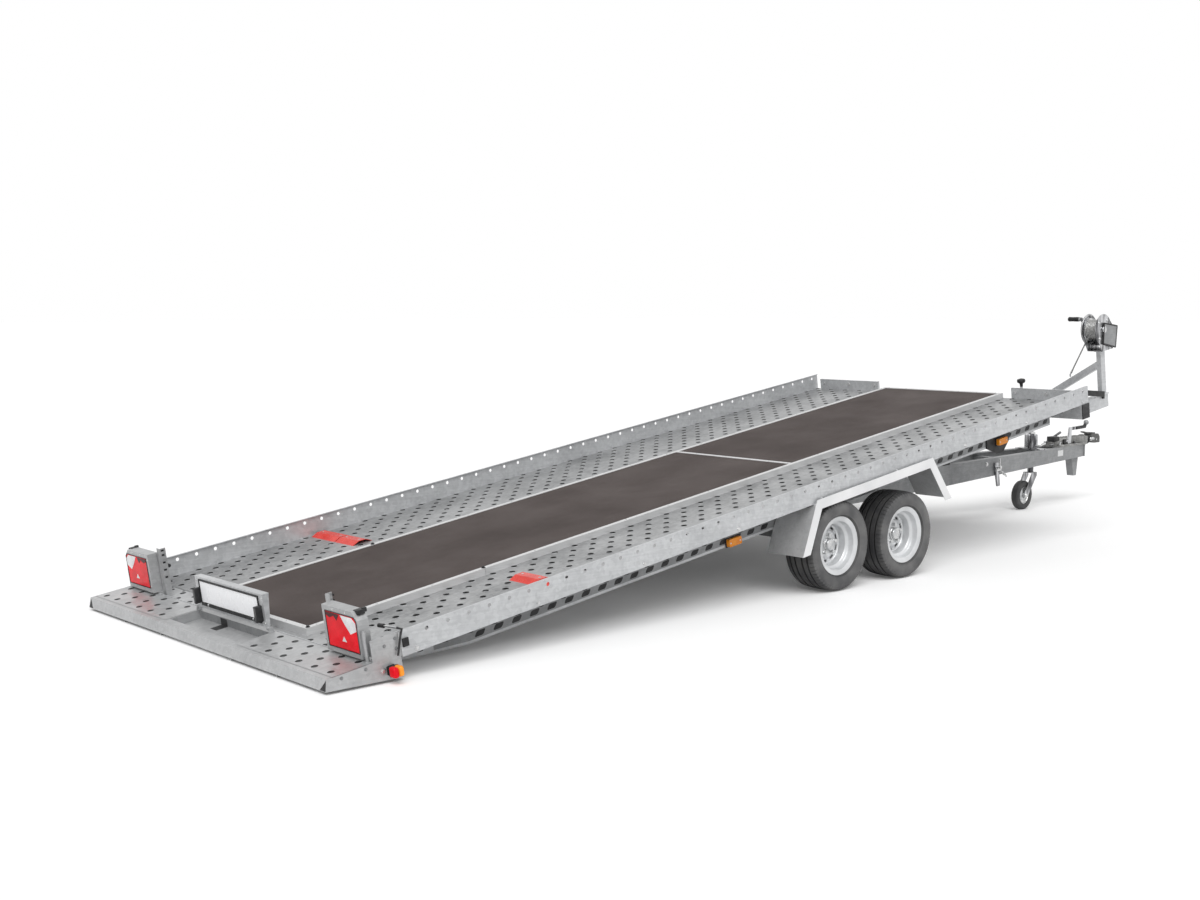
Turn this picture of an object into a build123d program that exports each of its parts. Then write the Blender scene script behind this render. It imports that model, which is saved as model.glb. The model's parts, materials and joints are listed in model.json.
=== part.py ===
"""Tandem-axle tilting car transporter trailer, standing with its bed tipped onto its rear edge.

+X is the direction of travel, +Y the left-hand side, +Z up, millimetres.  The origin is on the
ground, under the middle of the trailer's length and width.
"""
from build123d import *
from math import asin, atan2, cos, degrees, hypot, radians, sin
import os

os.makedirs("parts", exist_ok=True)

# ---------------------------------------------------------------- driving dimensions
# Wheels, 195/55 R10 C
tyre_radius = 234.0
tyre_width = 196.0
rim_radius = 152.0
rim_flange = 23.0
rim_well = 42.0
rim_width = 160.0
axle_spacing = 553.0
tyre_proud = 9.0

# Tilting bed, u along it from the pivot, v sideways, w above its floor
lane_outer = 1065.0
rail_rear = -2986.0
rail_front = 2160.0
deck_above_pivot = 143.0
bump_gap = 72.5
panel_half_width = 440.0
panel_thickness = 15.0
panel_overhang = 60.0
panel_joint = 80.0
panel_gap = 2.0
trim_width = 28.0
trim_joint = -2102.0
strip_width = 24.0
seam = 0.3
sheet = 2.5
lane_drop = 30.0
rail_height = 72.0
rail_lip = 12.0
hole_pitch = 105.5
hole_radius = 9.0
hole_height = 48.0
rear_hole_edge = 128.0
front_hole_edge = 50.0

# Members under the bed
tyre_side_gap = 36.0
beam_depth = 136.0
beam_sheet = 4.0
beam_flange = 40.0
beam_lip = 32.0
beam_taper = 480.0
beam_tail_depth = 82.0
slot_pitch = 100.0
slot_length = 56.0
slot_width = 18.0
slot_edge = 60.0
slot_depth = 92.0
cross_depth = 80.0
cross_width = 50.0
cross_wall = 4.0
rear_cross_pitch = 570.0
first_front_cross = 650.0
front_cross_pitch = 600.0
cross_edge = 100.0
bearer_width = 40.0
bearer_inset = 13.0
bearer_count = 4
front_tube_width = 80.0
front_tube_depth = 90.0
front_tube_wall = 4.0
cap_thickness = 6.0

# Rear flap
flap_gap = 4.0
flap_step_length = 118.0
flap_length = 335.0
flap_nose_run = 15.0
flap_nose_height = 59.0
flap_rise = 15.0
skid_height = 13.0
recess_half_width = 318.0
recess_length = 144.0
recess_edge = 44.0

# Fenders
fender_mid = 20.0
fender_ahead = 20.5
fender_flare = 145.0
fender_top = -12.0
fender_bottom = -272.0
fender_strip = 50.0
fender_gap = 8.0

# Chassis and drawbar, x ahead of the pivot
member_rear_x = -430.0
member_front_x = 3850.0
member_rear_y = 420.0
member_front_y = 62.0
member_wall = 5.0
member_flange = 45.0
member_low_top = 385.0
member_high_top = 426.0
member_low_bottom = 275.0
member_front_bottom = 338.0
step_start_x = 900.0
step_end_x = 1700.0
axle_tube = 70.0
axle_tube_z = 239.0
axle_lead = 140.0
arm_thickness = 26.0
arm_height = 64.0
spindle_radius = 17.0
drum_width = 52.0

# Coupling and jockey wheel
coupling_reach = 270.0
coupling_z = 452.0
jockey_setback = 625.0
jockey_trail = 105.0
jockey_radius = 103.0
jockey_tyre_width = 52.0
jockey_tube_radius = 27.0
jockey_tube_top = 552.0

# ---------------------------------------------------------------- placing
lane_floor = -lane_drop
under_lane = -lane_drop - sheet
pivot_z = 2 * tyre_radius + bump_gap - deck_above_pivot - under_lane
wheel_face_y = lane_outer + tyre_proud
wheel_mid_y = wheel_face_y - tyre_width / 2
axle_stations = {"front": axle_spacing / 2, "rear": -axle_spacing / 2}
sides = {"left": 1, "right": -1}

# The flap's nose rests on the ground, which gives the bed its tilt
flap_front = rail_rear - flap_gap
flap_step = flap_front - flap_step_length
flap_crease = flap_front - flap_length
flap_tip = flap_crease - flap_nose_run
flap_top = lane_floor + flap_rise
nose_w = flap_top - flap_nose_height
tip_above_pivot = deck_above_pivot + nose_w
tilt = degrees(asin(pivot_z / hypot(flap_tip, tip_above_pivot)) + atan2(tip_above_pivot, -flap_tip))
cos_tilt = cos(radians(tilt))
sin_tilt = sin(radians(tilt))


def reach_back(u, w):
    """Horizontal distance behind the pivot of a bed point u along and w above the floor."""
    return (w + deck_above_pivot) * sin_tilt - u * cos_tilt


def ground_w(u):
    """Height above the bed's floor, square to it, at which the ground lies u along the bed."""
    return -(pivot_z + u * sin_tilt) / cos_tilt - deck_above_pivot


rear_reach = reach_back(flap_tip, nose_w)
coupling_tip_x = member_front_x + coupling_reach
pivot_x = (rear_reach - coupling_tip_x) / 2

deck_origin = Vector(pivot_x, 0, pivot_z) + Vector(-sin_tilt, 0, cos_tilt) * deck_above_pivot
# deck: seen from above; side: seen from the right; section: seen from the front end
deck = Plane(origin=deck_origin, x_dir=(cos_tilt, 0, sin_tilt), z_dir=(-sin_tilt, 0, cos_tilt))
side = Plane(origin=deck_origin, x_dir=(cos_tilt, 0, sin_tilt), z_dir=(0, -1, 0))
section = Plane(origin=deck_origin, x_dir=(0, 1, 0), z_dir=(cos_tilt, 0, sin_tilt))
ground_side = Plane(origin=(pivot_x, 0, 0), x_dir=(1, 0, 0), z_dir=(0, -1, 0))
ground_top = Plane(origin=(pivot_x, 0, 0))


def save(piece, name):
    """Labels a finished piece and writes its STEP file."""
    piece.part.label = name
    export_step(piece.part, f"parts/{name}.step")


# ---------------------------------------------------------------- lanes and side rails
inner_edge = panel_half_width + trim_width
first_hole = rail_rear + rear_hole_edge
hole_count = int((rail_front - front_hole_edge - first_hole) / hole_pitch) + 1
hole_places = [(first_hole + i * hole_pitch, hole_height) for i in range(hole_count)]
for name, s in sides.items():
    with BuildPart() as lane:
        with BuildSketch(section.offset(rail_rear)):
            with Locations((s * (inner_edge + lane_outer - sheet) / 2, lane_floor - sheet / 2)):
                Rectangle(lane_outer - sheet - inner_edge, sheet)
        extrude(amount=rail_front - rail_rear)
    save(lane, f"lane_{name}")
    with BuildPart() as rail:
        with BuildSketch(section.offset(rail_rear)):
            with BuildLine():
                Polyline(
                    (s * lane_outer, under_lane),
                    (s * lane_outer, rail_height),
                    (s * (lane_outer - rail_lip), rail_height),
                    (s * (lane_outer - rail_lip), rail_height - sheet),
                    (s * (lane_outer - sheet), rail_height - sheet),
                    (s * (lane_outer - sheet), under_lane),
                    close=True,
                )
            make_face()
        extrude(amount=rail_front - rail_rear)
        with Locations(side.offset(-s * lane_outer)):
            with Locations(*hole_places):
                Cylinder(hole_radius, 4 * sheet, mode=Mode.SUBTRACT)
    save(rail, f"rail_{name}")

# ---------------------------------------------------------------- raised centre floor
panel_rear = flap_front - panel_overhang
panel_front = rail_front - 3
bearer_top = -panel_thickness
with BuildPart() as deck_panels:
    for start, end in (
        (panel_rear, panel_joint - panel_gap / 2),
        (panel_joint + panel_gap / 2, panel_front),
    ):
        with BuildSketch(deck.offset(-panel_thickness)):
            with Locations(((start + end) / 2, 0)):
                Rectangle(end - start, 2 * (inner_edge - sheet))
        extrude(amount=panel_thickness)
save(deck_panels, "deck_panels")

with BuildPart() as deck_trims:
    for s in (1, -1):
        for start, end, foot in (
            (panel_rear, flap_front, lane_floor),
            (flap_front, trim_joint - panel_gap / 2, under_lane),
            (trim_joint + panel_gap / 2, panel_front, under_lane),
        ):
            with BuildSketch(section.offset(start)):
                with BuildLine():
                    Polyline(
                        (s * panel_half_width, 0),
                        (s * panel_half_width, sheet),
                        (s * inner_edge, sheet),
                        (s * inner_edge, foot),
                        (s * (inner_edge - sheet), foot),
                        (s * (inner_edge - sheet), 0),
                        close=True,
                    )
                make_face()
            extrude(amount=end - start)
    with BuildSketch(deck):
        for u in (panel_joint, panel_rear + strip_width / 2, panel_front - strip_width / 2):
            with Locations((u, 0)):
                Rectangle(strip_width, 2 * (panel_half_width - seam))
    extrude(amount=sheet)
    with BuildSketch(section.offset(panel_rear - seam - sheet)):
        with Locations((0, (sheet + lane_floor) / 2)):
            Rectangle(2 * inner_edge, sheet - lane_floor)
    extrude(amount=sheet)
save(deck_trims, "deck_trims")

bearer_spacing = (2 * (inner_edge - bearer_inset) - bearer_width) / (bearer_count - 1)
with BuildPart() as panel_bearers:
    with BuildSketch(section.offset(flap_front)):
        for i in range(bearer_count):
            v = (i - (bearer_count - 1) / 2) * bearer_spacing
            with Locations((v, (bearer_top + under_lane) / 2)):
                Rectangle(bearer_width, bearer_top - under_lane)
    extrude(amount=panel_front - flap_front)
save(panel_bearers, "panel_bearers")

# ---------------------------------------------------------------- members under the bed
beam_outer = wheel_face_y - tyre_width - tyre_side_gap
beam_rear = flap_front
beam_taper_start = beam_rear + beam_taper
beam_bottom = under_lane - beam_depth
tail_bottom = under_lane - beam_tail_depth
tube_rear = rail_front - front_tube_width
web_y = beam_outer - beam_flange
first_slot = beam_taper_start + slot_edge + slot_length / 2 + 2
slot_count = int((tube_rear - slot_edge - first_slot) / slot_pitch) + 1
slot_places = [(first_slot + i * slot_pitch, under_lane - slot_depth) for i in range(slot_count)]
rear_cross_count = int((-beam_rear - cross_edge) / rear_cross_pitch)
front_cross_count = int((tube_rear - cross_edge - first_front_cross) / front_cross_pitch) + 1
cross_stations = [-i * rear_cross_pitch for i in range(rear_cross_count + 1)]
cross_stations += [first_front_cross + i * front_cross_pitch for i in range(front_cross_count)]


def beam_outline(top_offset):
    """Outline between the beam's lower edge and a line top_offset above it."""
    Polyline(
        (beam_rear, tail_bottom),
        (beam_taper_start, beam_bottom),
        (tube_rear, beam_bottom),
        (tube_rear, beam_bottom + top_offset),
        (beam_taper_start, beam_bottom + top_offset),
        (beam_rear, tail_bottom + top_offset),
        close=True,
    )


for name, s in sides.items():
    outward = side.offset(-s * web_y)
    with BuildPart() as side_beam:
        with BuildSketch(outward):
            with BuildLine():
                Polyline(
                    (beam_rear, tail_bottom),
                    (beam_taper_start, beam_bottom),
                    (tube_rear, beam_bottom),
                    (tube_rear, under_lane),
                    (beam_rear, under_lane),
                    close=True,
                )
            make_face()
        extrude(amount=-s * beam_sheet)
        with BuildSketch(outward):
            with BuildLine():
                beam_outline(beam_sheet)
            make_face()
            with BuildLine():
                Polyline(
                    (beam_rear, under_lane),
                    (tube_rear, under_lane),
                    (tube_rear, under_lane - beam_sheet),
                    (beam_rear, under_lane - beam_sheet),
                    close=True,
                )
            make_face()
        extrude(amount=-s * beam_flange)
        with BuildSketch(side.offset(-s * (beam_outer - beam_sheet))):
            with BuildLine():
                beam_outline(beam_lip)
            make_face()
        extrude(amount=-s * beam_sheet)
        with BuildSketch(outward):
            with Locations(*slot_places):
                SlotOverall(slot_length, slot_width)
        extrude(amount=2 * beam_sheet, both=True, mode=Mode.SUBTRACT)
    save(side_beam, f"side_beam_{name}")

tube_mid = ((tube_rear + rail_front) / 2, under_lane - front_tube_depth / 2)
tube_bore = (front_tube_width - 2 * front_tube_wall, front_tube_depth - 2 * front_tube_wall)
with BuildPart() as front_tube:
    with BuildSketch(side.offset(-lane_outer)):
        with Locations(tube_mid):
            Rectangle(front_tube_width, front_tube_depth)
            Rectangle(*tube_bore, mode=Mode.SUBTRACT)
    extrude(amount=2 * lane_outer)
save(front_tube, "front_tube")

with BuildPart() as tube_end_caps:
    for start in (-lane_outer - cap_thickness, lane_outer):
        with BuildSketch(side.offset(start)):
            with Locations(tube_mid):
                Rectangle(front_tube_width, front_tube_depth)
        extrude(amount=cap_thickness)
save(tube_end_caps, "tube_end_caps")

# ---------------------------------------------------------------- tilt pivot
member_slope = (member_rear_y - member_front_y) / (member_front_x - member_rear_x)


def member_y(x):
    """Outer face of a drawbar member, sideways from the middle, x ahead of the pivot."""
    return member_rear_y - (x - member_rear_x) * member_slope


lug_inset = 20.0
lug_y = member_y(0) - lug_inset
pin_radius = 14.0
pin_clearance = 0.05
hanger_thickness = 12.0
lug_thickness = 10.0
lug_gap = 2.0
lug_half_length = 45.0
hanger_toe = 24.0
lug_toe = 20.0
hanger_low = -deck_above_pivot - hanger_toe
with BuildPart() as bed_crossmembers:
    with BuildSketch(side.offset(-web_y)):
        with Locations(*[(u, under_lane - cross_depth / 2) for u in cross_stations]):
            Rectangle(cross_width, cross_depth)
            Rectangle(cross_width - 2 * cross_wall, cross_depth - 2 * cross_wall, mode=Mode.SUBTRACT)
    extrude(amount=2 * web_y)
save(bed_crossmembers, "bed_crossmembers")

with BuildPart() as pivot_hangers:
    for s in (1, -1):
        with BuildSketch(side.offset(-s * lug_y - hanger_thickness / 2)):
            with BuildLine():
                Polyline(
                    (-lug_half_length, under_lane - cross_depth),
                    (lug_half_length, under_lane - cross_depth),
                    (hanger_toe, hanger_low),
                    (-hanger_toe, hanger_low),
                    close=True,
                )
            make_face()
            with Locations((0, -deck_above_pivot)):
                Circle(pin_radius + pin_clearance, mode=Mode.SUBTRACT)
        extrude(amount=hanger_thickness)
save(pivot_hangers, "pivot_hangers")

saddle_thickness = 8.0
saddle_top = member_low_top + saddle_thickness
lug_offset = (hanger_thickness + lug_thickness) / 2 + lug_gap
with BuildPart() as pivot_brackets:
    for s in (1, -1):
        with BuildSketch(ground_top.offset(member_low_top)):
            with Locations((0, s * lug_y)):
                Rectangle(2 * lug_half_length, 2 * lug_offset + lug_thickness)
        extrude(amount=saddle_thickness)
        for t in (1, -1):
            with BuildSketch(ground_side.offset(-s * lug_y - t * lug_offset - lug_thickness / 2)):
                with BuildLine():
                    Polyline(
                        (-lug_half_length, saddle_top),
                        (lug_half_length, saddle_top),
                        (lug_toe, pivot_z + lug_toe),
                        (-lug_toe, pivot_z + lug_toe),
                        close=True,
                    )
                make_face()
            extrude(amount=lug_thickness)
        with BuildSketch(ground_side.offset(-s * lug_y - lug_offset - lug_thickness)):
            with Locations((0, pivot_z)):
                Circle(pin_radius)
        extrude(amount=2 * (lug_offset + lug_thickness))
save(pivot_brackets, "pivot_brackets")

# ---------------------------------------------------------------- chassis and drawbar
member_length = hypot(member_front_x - member_rear_x, member_rear_y - member_front_y)
stretch = member_length / (member_front_x - member_rear_x)
member_turn = atan2(member_rear_y - member_front_y, member_front_x - member_rear_x)
step_rise = 12.0


def member_profile():
    """Side outline of a drawbar member: level over the axles, stepped up, tapering to the coupling."""
    Polyline(
        (0, member_low_bottom),
        ((step_end_x - member_rear_x) * stretch, member_low_bottom + step_rise),
        (member_length, member_front_bottom),
        (member_length, member_high_top),
        ((step_end_x - member_rear_x) * stretch, member_high_top),
        ((step_start_x - member_rear_x) * stretch, member_low_top),
        (0, member_low_top),
        close=True,
    )


for name, s in sides.items():
    outer = Plane(
        origin=(pivot_x + member_rear_x, s * member_rear_y, 0),
        x_dir=(cos(member_turn), -s * sin(member_turn), 0),
        z_dir=(-s * sin(member_turn), -cos(member_turn), 0),
    )
    with BuildPart() as member:
        with BuildSketch(outer):
            with BuildLine():
                member_profile()
            make_face()
        extrude(amount=s * member_flange)
        with BuildSketch(outer.offset(s * member_wall)):
            with BuildLine():
                member_profile()
                offset(amount=-member_wall)
            make_face()
        extrude(amount=s * member_flange, mode=Mode.SUBTRACT)
    save(member, f"drawbar_{name}")


def member_bottom(x):
    """Height of a drawbar member's lower face, x ahead of the pivot."""
    if x < step_end_x:
        return member_low_bottom + step_rise * (x - member_rear_x) / (step_end_x - member_rear_x)
    rise = member_front_bottom - member_low_bottom - step_rise
    return member_low_bottom + step_rise + rise * (x - step_end_x) / (member_front_x - step_end_x)


tie_lift = 18.0
tie_height = 70.0
tie_width = 50.0
tie_wall = 4.0
tie_inset = 50.0
rear_tie_x = 560.0
middle_tie_x = 1500.0
front_tie_setback = 1100.0
nose_plate = 5.0
with BuildPart() as chassis_crossmembers:
    for x in (member_rear_x + tie_inset, rear_tie_x, middle_tie_x, member_front_x - front_tie_setback):
        half = member_y(x + tie_width / 2) - member_wall / cos(member_turn)
        with BuildSketch(ground_side.offset(-half)):
            with Locations((x, member_bottom(x) + tie_lift + tie_height / 2)):
                Rectangle(tie_width, tie_height)
                Rectangle(tie_width - 2 * tie_wall, tie_height - 2 * tie_wall, mode=Mode.SUBTRACT)
        extrude(amount=2 * half)
    with BuildSketch(ground_side.offset(-member_front_y - nose_plate)):
        with Locations((member_front_x + nose_plate, (member_front_bottom + member_high_top) / 2)):
            Rectangle(2 * nose_plate, member_high_top - member_front_bottom)
    extrude(amount=2 * (member_front_y + nose_plate))
save(chassis_crossmembers, "chassis_crossmembers")

# ---------------------------------------------------------------- axles
axle_wall = 6.0
axle_corner = 8.0
seat_length = 80.0
seat_inner = 40.0
seat_outer = 8.0
stub_radius = 28.0
stub_length = 60.0
backing_thickness = 6.5
drum_gap = 5.5
disc_offset = -8.0
disc_thickness = 8.0
drum_back = -78.0
spindle_end = 25.0
rim_sheet = 4.0
drum_clearance = 4.0
rim_seat_radius = rim_radius - rim_flange
well_radius = rim_radius - rim_well
drum_radius = well_radius - rim_sheet - drum_clearance
backing_radius = drum_radius - drum_clearance
axle_high = axle_tube_z + axle_tube / 2
backing_y = wheel_mid_y + drum_back - drum_gap - backing_thickness
axle_half_width = backing_y - stub_length - arm_thickness
for place, station in axle_stations.items():
    axle_x = station + axle_lead
    with BuildPart() as axle:
        with BuildSketch(ground_side.offset(-axle_half_width)):
            with Locations((axle_x, axle_tube_z)):
                RectangleRounded(axle_tube, axle_tube, axle_corner)
                Rectangle(axle_tube - 2 * axle_wall, axle_tube - 2 * axle_wall, mode=Mode.SUBTRACT)
        extrude(amount=2 * axle_half_width)
        for s in (1, -1):
            with BuildSketch(ground_side.offset(-s * (member_y(axle_x) - seat_inner))):
                with BuildLine():
                    Polyline(
                        (axle_x - seat_length / 2, axle_high),
                        (axle_x + seat_length / 2, axle_high),
                        (axle_x + seat_length / 2, member_bottom(axle_x + seat_length / 2)),
                        (axle_x - seat_length / 2, member_bottom(axle_x - seat_length / 2)),
                        close=True,
                    )
                make_face()
            extrude(amount=-s * (seat_inner - seat_outer))
            with BuildSketch(ground_side.offset(-s * axle_half_width)):
                with Locations((station + axle_lead / 2, (axle_tube_z + tyre_radius) / 2)):
                    SlotCenterToCenter(axle_lead, arm_height)
            extrude(amount=-s * arm_thickness)
            with BuildSketch(ground_side.offset(-s * (axle_half_width + arm_thickness))):
                with Locations((station, tyre_radius)):
                    Circle(stub_radius)
            extrude(amount=-s * stub_length)
            with BuildSketch(ground_side.offset(-s * backing_y)):
                with Locations((station, tyre_radius)):
                    Circle(backing_radius)
            extrude(amount=-s * backing_thickness)
            with BuildSketch(ground_side.offset(-s * backing_y)):
                with Locations((station, tyre_radius)):
                    Circle(spindle_radius)
            extrude(amount=-s * (wheel_mid_y + spindle_end - backing_y))
    save(axle, f"axle_{place}")

# ---------------------------------------------------------------- road wheels
bead_half = rim_width / 2
bead_inset = 6.0
bead_thickness = 14.0
tread_inset = 12.0
tread_half = tyre_width / 2 - tread_inset
shoulder_drop = 8.0
tread_thickness = 13.0
sidewall_thickness = 9.0
well_half = 34.0
well_slope = 10.0
flange_lip = 3.0
drum_wall = 8.0
hub_radius = 45.0
hub_back = -60.0
nose_radius = 31.0
nose_end = 32.0
bore_clearance = 0.05
side_mid = (rim_radius + tyre_radius) / 2
shoulder_radius = tyre_radius - shoulder_drop
for place, station in axle_stations.items():
    for name, s in sides.items():
        centre = (pivot_x + station, s * wheel_mid_y, tyre_radius)
        spin = Axis(centre, (0, 1, 0))
        radial = Plane(origin=centre, x_dir=(0, s, 0), z_dir=(1, 0, 0))
        outward = Plane(origin=centre, x_dir=(1, 0, 0), z_dir=(0, s, 0))
        bead_outer = bead_half - bead_inset
        bead_inner = bead_outer - bead_thickness
        with BuildPart() as tyre:
            with BuildSketch(radial):
                with BuildLine():
                    for t in (1, -1):
                        Polyline(
                            (t * bead_inner, rim_radius),
                            (t * bead_inner, rim_seat_radius),
                            (t * bead_outer, rim_seat_radius),
                            (t * bead_outer, rim_radius),
                        )
                        ThreePointArc(
                            (t * bead_outer, rim_radius),
                            (t * tyre_width / 2, side_mid),
                            (t * tread_half, shoulder_radius),
                        )
                        ThreePointArc(
                            (t * bead_inner, rim_radius),
                            (t * (tyre_width / 2 - sidewall_thickness), side_mid),
                            (t * (tread_half - tread_thickness), shoulder_radius - tread_thickness),
                        )
                    ThreePointArc(
                        (tread_half, shoulder_radius), (0, tyre_radius), (-tread_half, shoulder_radius)
                    )
                    ThreePointArc(
                        (tread_half - tread_thickness, shoulder_radius - tread_thickness),
                        (0, tyre_radius - tread_thickness),
                        (tread_thickness - tread_half, shoulder_radius - tread_thickness),
                    )
                make_face()
            revolve(axis=spin)
        save(tyre, f"tyre_{place}_{name}")
        with BuildPart() as rim:
            with BuildSketch(radial):
                with BuildLine():
                    Polyline(
                        (-bead_half, rim_radius),
                        (-bead_half, rim_radius - flange_lip),
                        (-bead_half + bead_inset - rim_sheet, rim_seat_radius - rim_sheet),
                        (-well_half - well_slope, rim_seat_radius - rim_sheet),
                        (-well_half, well_radius - rim_sheet),
                        (well_half, well_radius - rim_sheet),
                        (well_half + well_slope, rim_seat_radius - rim_sheet),
                        (bead_half - bead_inset + rim_sheet, rim_seat_radius - rim_sheet),
                        (bead_half, rim_radius - flange_lip),
                        (bead_half, rim_radius),
                        (bead_half - bead_inset, rim_radius),
                        (bead_half - bead_inset, rim_seat_radius),
                        (well_half + well_slope, rim_seat_radius),
                        (well_half + rim_sheet / 2, well_radius),
                        (-well_half - rim_sheet / 2, well_radius),
                        (-well_half - well_slope, rim_seat_radius),
                        (-bead_half + bead_inset, rim_seat_radius),
                        (-bead_half + bead_inset, rim_radius),
                        close=True,
                    )
                make_face()
            revolve(axis=spin)
            with BuildSketch(outward.offset(disc_offset)):
                Circle(well_radius - rim_sheet / 2)
            extrude(amount=-disc_thickness)
            with BuildSketch(outward.offset(drum_back)):
                Circle(drum_radius)
            extrude(amount=drum_width)
            with BuildSketch(outward.offset(drum_back)):
                Circle(drum_radius - drum_wall)
            extrude(amount=drum_width - drum_wall, mode=Mode.SUBTRACT)
            with BuildSketch(outward.offset(hub_back)):
                Circle(hub_radius)
            extrude(amount=disc_offset - hub_back)
            with BuildSketch(outward.offset(disc_offset)):
                Circle(nose_radius)
            extrude(amount=nose_end - disc_offset)
            with BuildSketch(outward.offset(hub_back)):
                Circle(spindle_radius + bore_clearance)
            extrude(amount=spindle_end + 1 - hub_back, mode=Mode.SUBTRACT)
        save(rim, f"rim_{place}_{name}")

# ---------------------------------------------------------------- fenders
fender_face_y = wheel_face_y + fender_gap
fender_inner_y = beam_outer + beam_sheet
fender_half_top = axle_spacing / 2 + tyre_radius - fender_ahead
leg_angle = atan2(fender_flare, fender_top - fender_bottom)


def arch_half_width(w, inset):
    """Half width of the fender arch at height w, inset square to its sloping legs."""
    return fender_half_top + (fender_top - w) * sin(leg_angle) / cos(leg_angle) - inset / cos(leg_angle)


def arch_band(top, width):
    """Closed band along the arch: its outer line, capped at a height, and a line inset by width."""
    Polyline(
        (fender_mid - arch_half_width(fender_bottom, 0), fender_bottom),
        (fender_mid - arch_half_width(top, 0), top),
        (fender_mid + arch_half_width(top, 0), top),
        (fender_mid + arch_half_width(fender_bottom, 0), fender_bottom),
        (fender_mid + arch_half_width(fender_bottom, width), fender_bottom),
        (fender_mid + arch_half_width(top - width, width), top - width),
        (fender_mid - arch_half_width(top - width, width), top - width),
        (fender_mid - arch_half_width(fender_bottom, width), fender_bottom),
        close=True,
    )


for name, s in sides.items():
    with BuildPart() as fender:
        with BuildSketch(side.offset(-s * fender_inner_y)):
            with BuildLine():
                arch_band(under_lane, sheet)
            make_face()
        extrude(amount=-s * (fender_face_y - fender_inner_y))
        with BuildSketch(side.offset(-s * (fender_face_y - sheet))):
            with BuildLine():
                arch_band(fender_top, fender_strip)
            make_face()
        extrude(amount=-s * sheet)
    save(fender, f"fender_{name}")

# ---------------------------------------------------------------- rear flap
flap_sheet = 4.0
flap_half_width = lane_outer - flap_sheet
recess_depth = 38.0
recess_slope = 12.0
recess_front = flap_tip + 203
recess_rear = recess_front - recess_length
recess_wall = recess_half_width + flap_sheet
rib_y = (recess_wall + flap_half_width) / 2
side_plate_length = 130.0
skid_overlap = 10.0
nose_inner = flap_tip + 1.5 * flap_sheet
front_w = ground_w(flap_front)
below = front_w - flap_nose_height
plate_pin_u = recess_front + 3
plate_pin_w = flap_top + 16
plate_pin_radius = 4.0
plate_lug = 4.0
plate_lug_y = recess_half_width + 2
plate_lug_foot = 14.0
plate_lug_head = 8.0
wing_y = 300.0
with BuildPart() as rear_flap:
    with BuildSketch(side.offset(-flap_half_width)):
        with BuildLine():
            Polyline(
                (flap_front, lane_floor),
                (flap_step, lane_floor),
                (flap_step, flap_top),
                (flap_crease, flap_top),
                (flap_tip, nose_w + skid_height),
                (flap_front, front_w + skid_height),
                close=True,
            )
        make_face()
    extrude(amount=2 * flap_half_width)
    for inner, outer_y in ((recess_wall, rib_y - flap_sheet), (rib_y, flap_half_width - flap_sheet)):
        for s in (1, -1):
            with BuildSketch(side.offset(-s * inner)):
                with BuildLine():
                    Polyline(
                        (flap_front - flap_sheet, lane_floor - flap_sheet),
                        (flap_step - flap_sheet, lane_floor - flap_sheet),
                        (flap_step - flap_sheet, flap_top - flap_sheet),
                        (flap_crease + flap_sheet / 2, flap_top - flap_sheet),
                        (nose_inner, nose_w),
                        (nose_inner, below),
                        (flap_front - flap_sheet, below),
                        close=True,
                    )
                make_face()
            extrude(amount=-s * (outer_y - inner), mode=Mode.SUBTRACT)
    with BuildSketch(section.offset(recess_rear)):
        with BuildLine():
            Polyline(
                (-recess_half_width, flap_top),
                (recess_half_width, flap_top),
                (recess_half_width - recess_slope, flap_top - recess_depth),
                (recess_slope - recess_half_width, flap_top - recess_depth),
                close=True,
            )
        make_face()
    extrude(amount=recess_length, mode=Mode.SUBTRACT)
    for s in (1, -1):
        for rib in (recess_wall - flap_sheet, rib_y - flap_sheet):
            with BuildSketch(side.offset(-s * rib)):
                with BuildLine():
                    Polyline(
                        (nose_inner, ground_w(nose_inner) + skid_height + skid_overlap),
                        (nose_inner, ground_w(nose_inner)),
                        (flap_front, front_w),
                        (flap_front, front_w + skid_height + skid_overlap),
                        close=True,
                    )
                make_face()
            extrude(amount=-s * flap_sheet)
        with BuildSketch(side.offset(-s * (flap_half_width - flap_sheet))):
            with BuildLine():
                Polyline(
                    (flap_front, lane_floor - flap_sheet),
                    (flap_front, rail_height),
                    (flap_front - side_plate_length, rail_height),
                    (flap_front - side_plate_length, lane_floor - flap_sheet),
                    close=True,
                )
            make_face()
        extrude(amount=-s * flap_sheet)
        with BuildSketch(side.offset(-s * plate_lug_y)):
            with BuildLine():
                Polyline(
                    (plate_pin_u - plate_lug_foot, flap_top),
                    (plate_pin_u + plate_lug_foot, flap_top),
                    (plate_pin_u + plate_lug_head, plate_pin_w + plate_lug_head),
                    (plate_pin_u - plate_lug_head, plate_pin_w + plate_lug_head),
                    close=True,
                )
            make_face()
        extrude(amount=-s * plate_lug)
        with BuildSketch(side.offset(-s * (wing_y - 6))):
            with Locations((plate_pin_u, plate_pin_w)):
                Circle(plate_pin_radius)
        extrude(amount=-s * (plate_lug_y - wing_y + 6))
save(rear_flap, "rear_flap")

# ---------------------------------------------------------------- rear lamps on swinging housings
lamp_depth = 52.0
lamp_rear = flap_front - 147
lamp_front = lamp_rear + lamp_depth
lamp_width = 246.0
lamp_outer_y = lane_outer - 49
lamp_inner_y = lamp_outer_y - lamp_width
lamp_low = -5.0
lamp_top = 183.0
lamp_border = 20.0
lamp_corner = 34.0
lamp_pin_u = lamp_rear + 15
lamp_pin_y = lamp_outer_y + 12
lamp_pin_radius = 6.0
knuckle_radius = 8.5
knuckle_low = 4.0
knuckle_high = 104.0
lens_proud = 2.0


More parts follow.
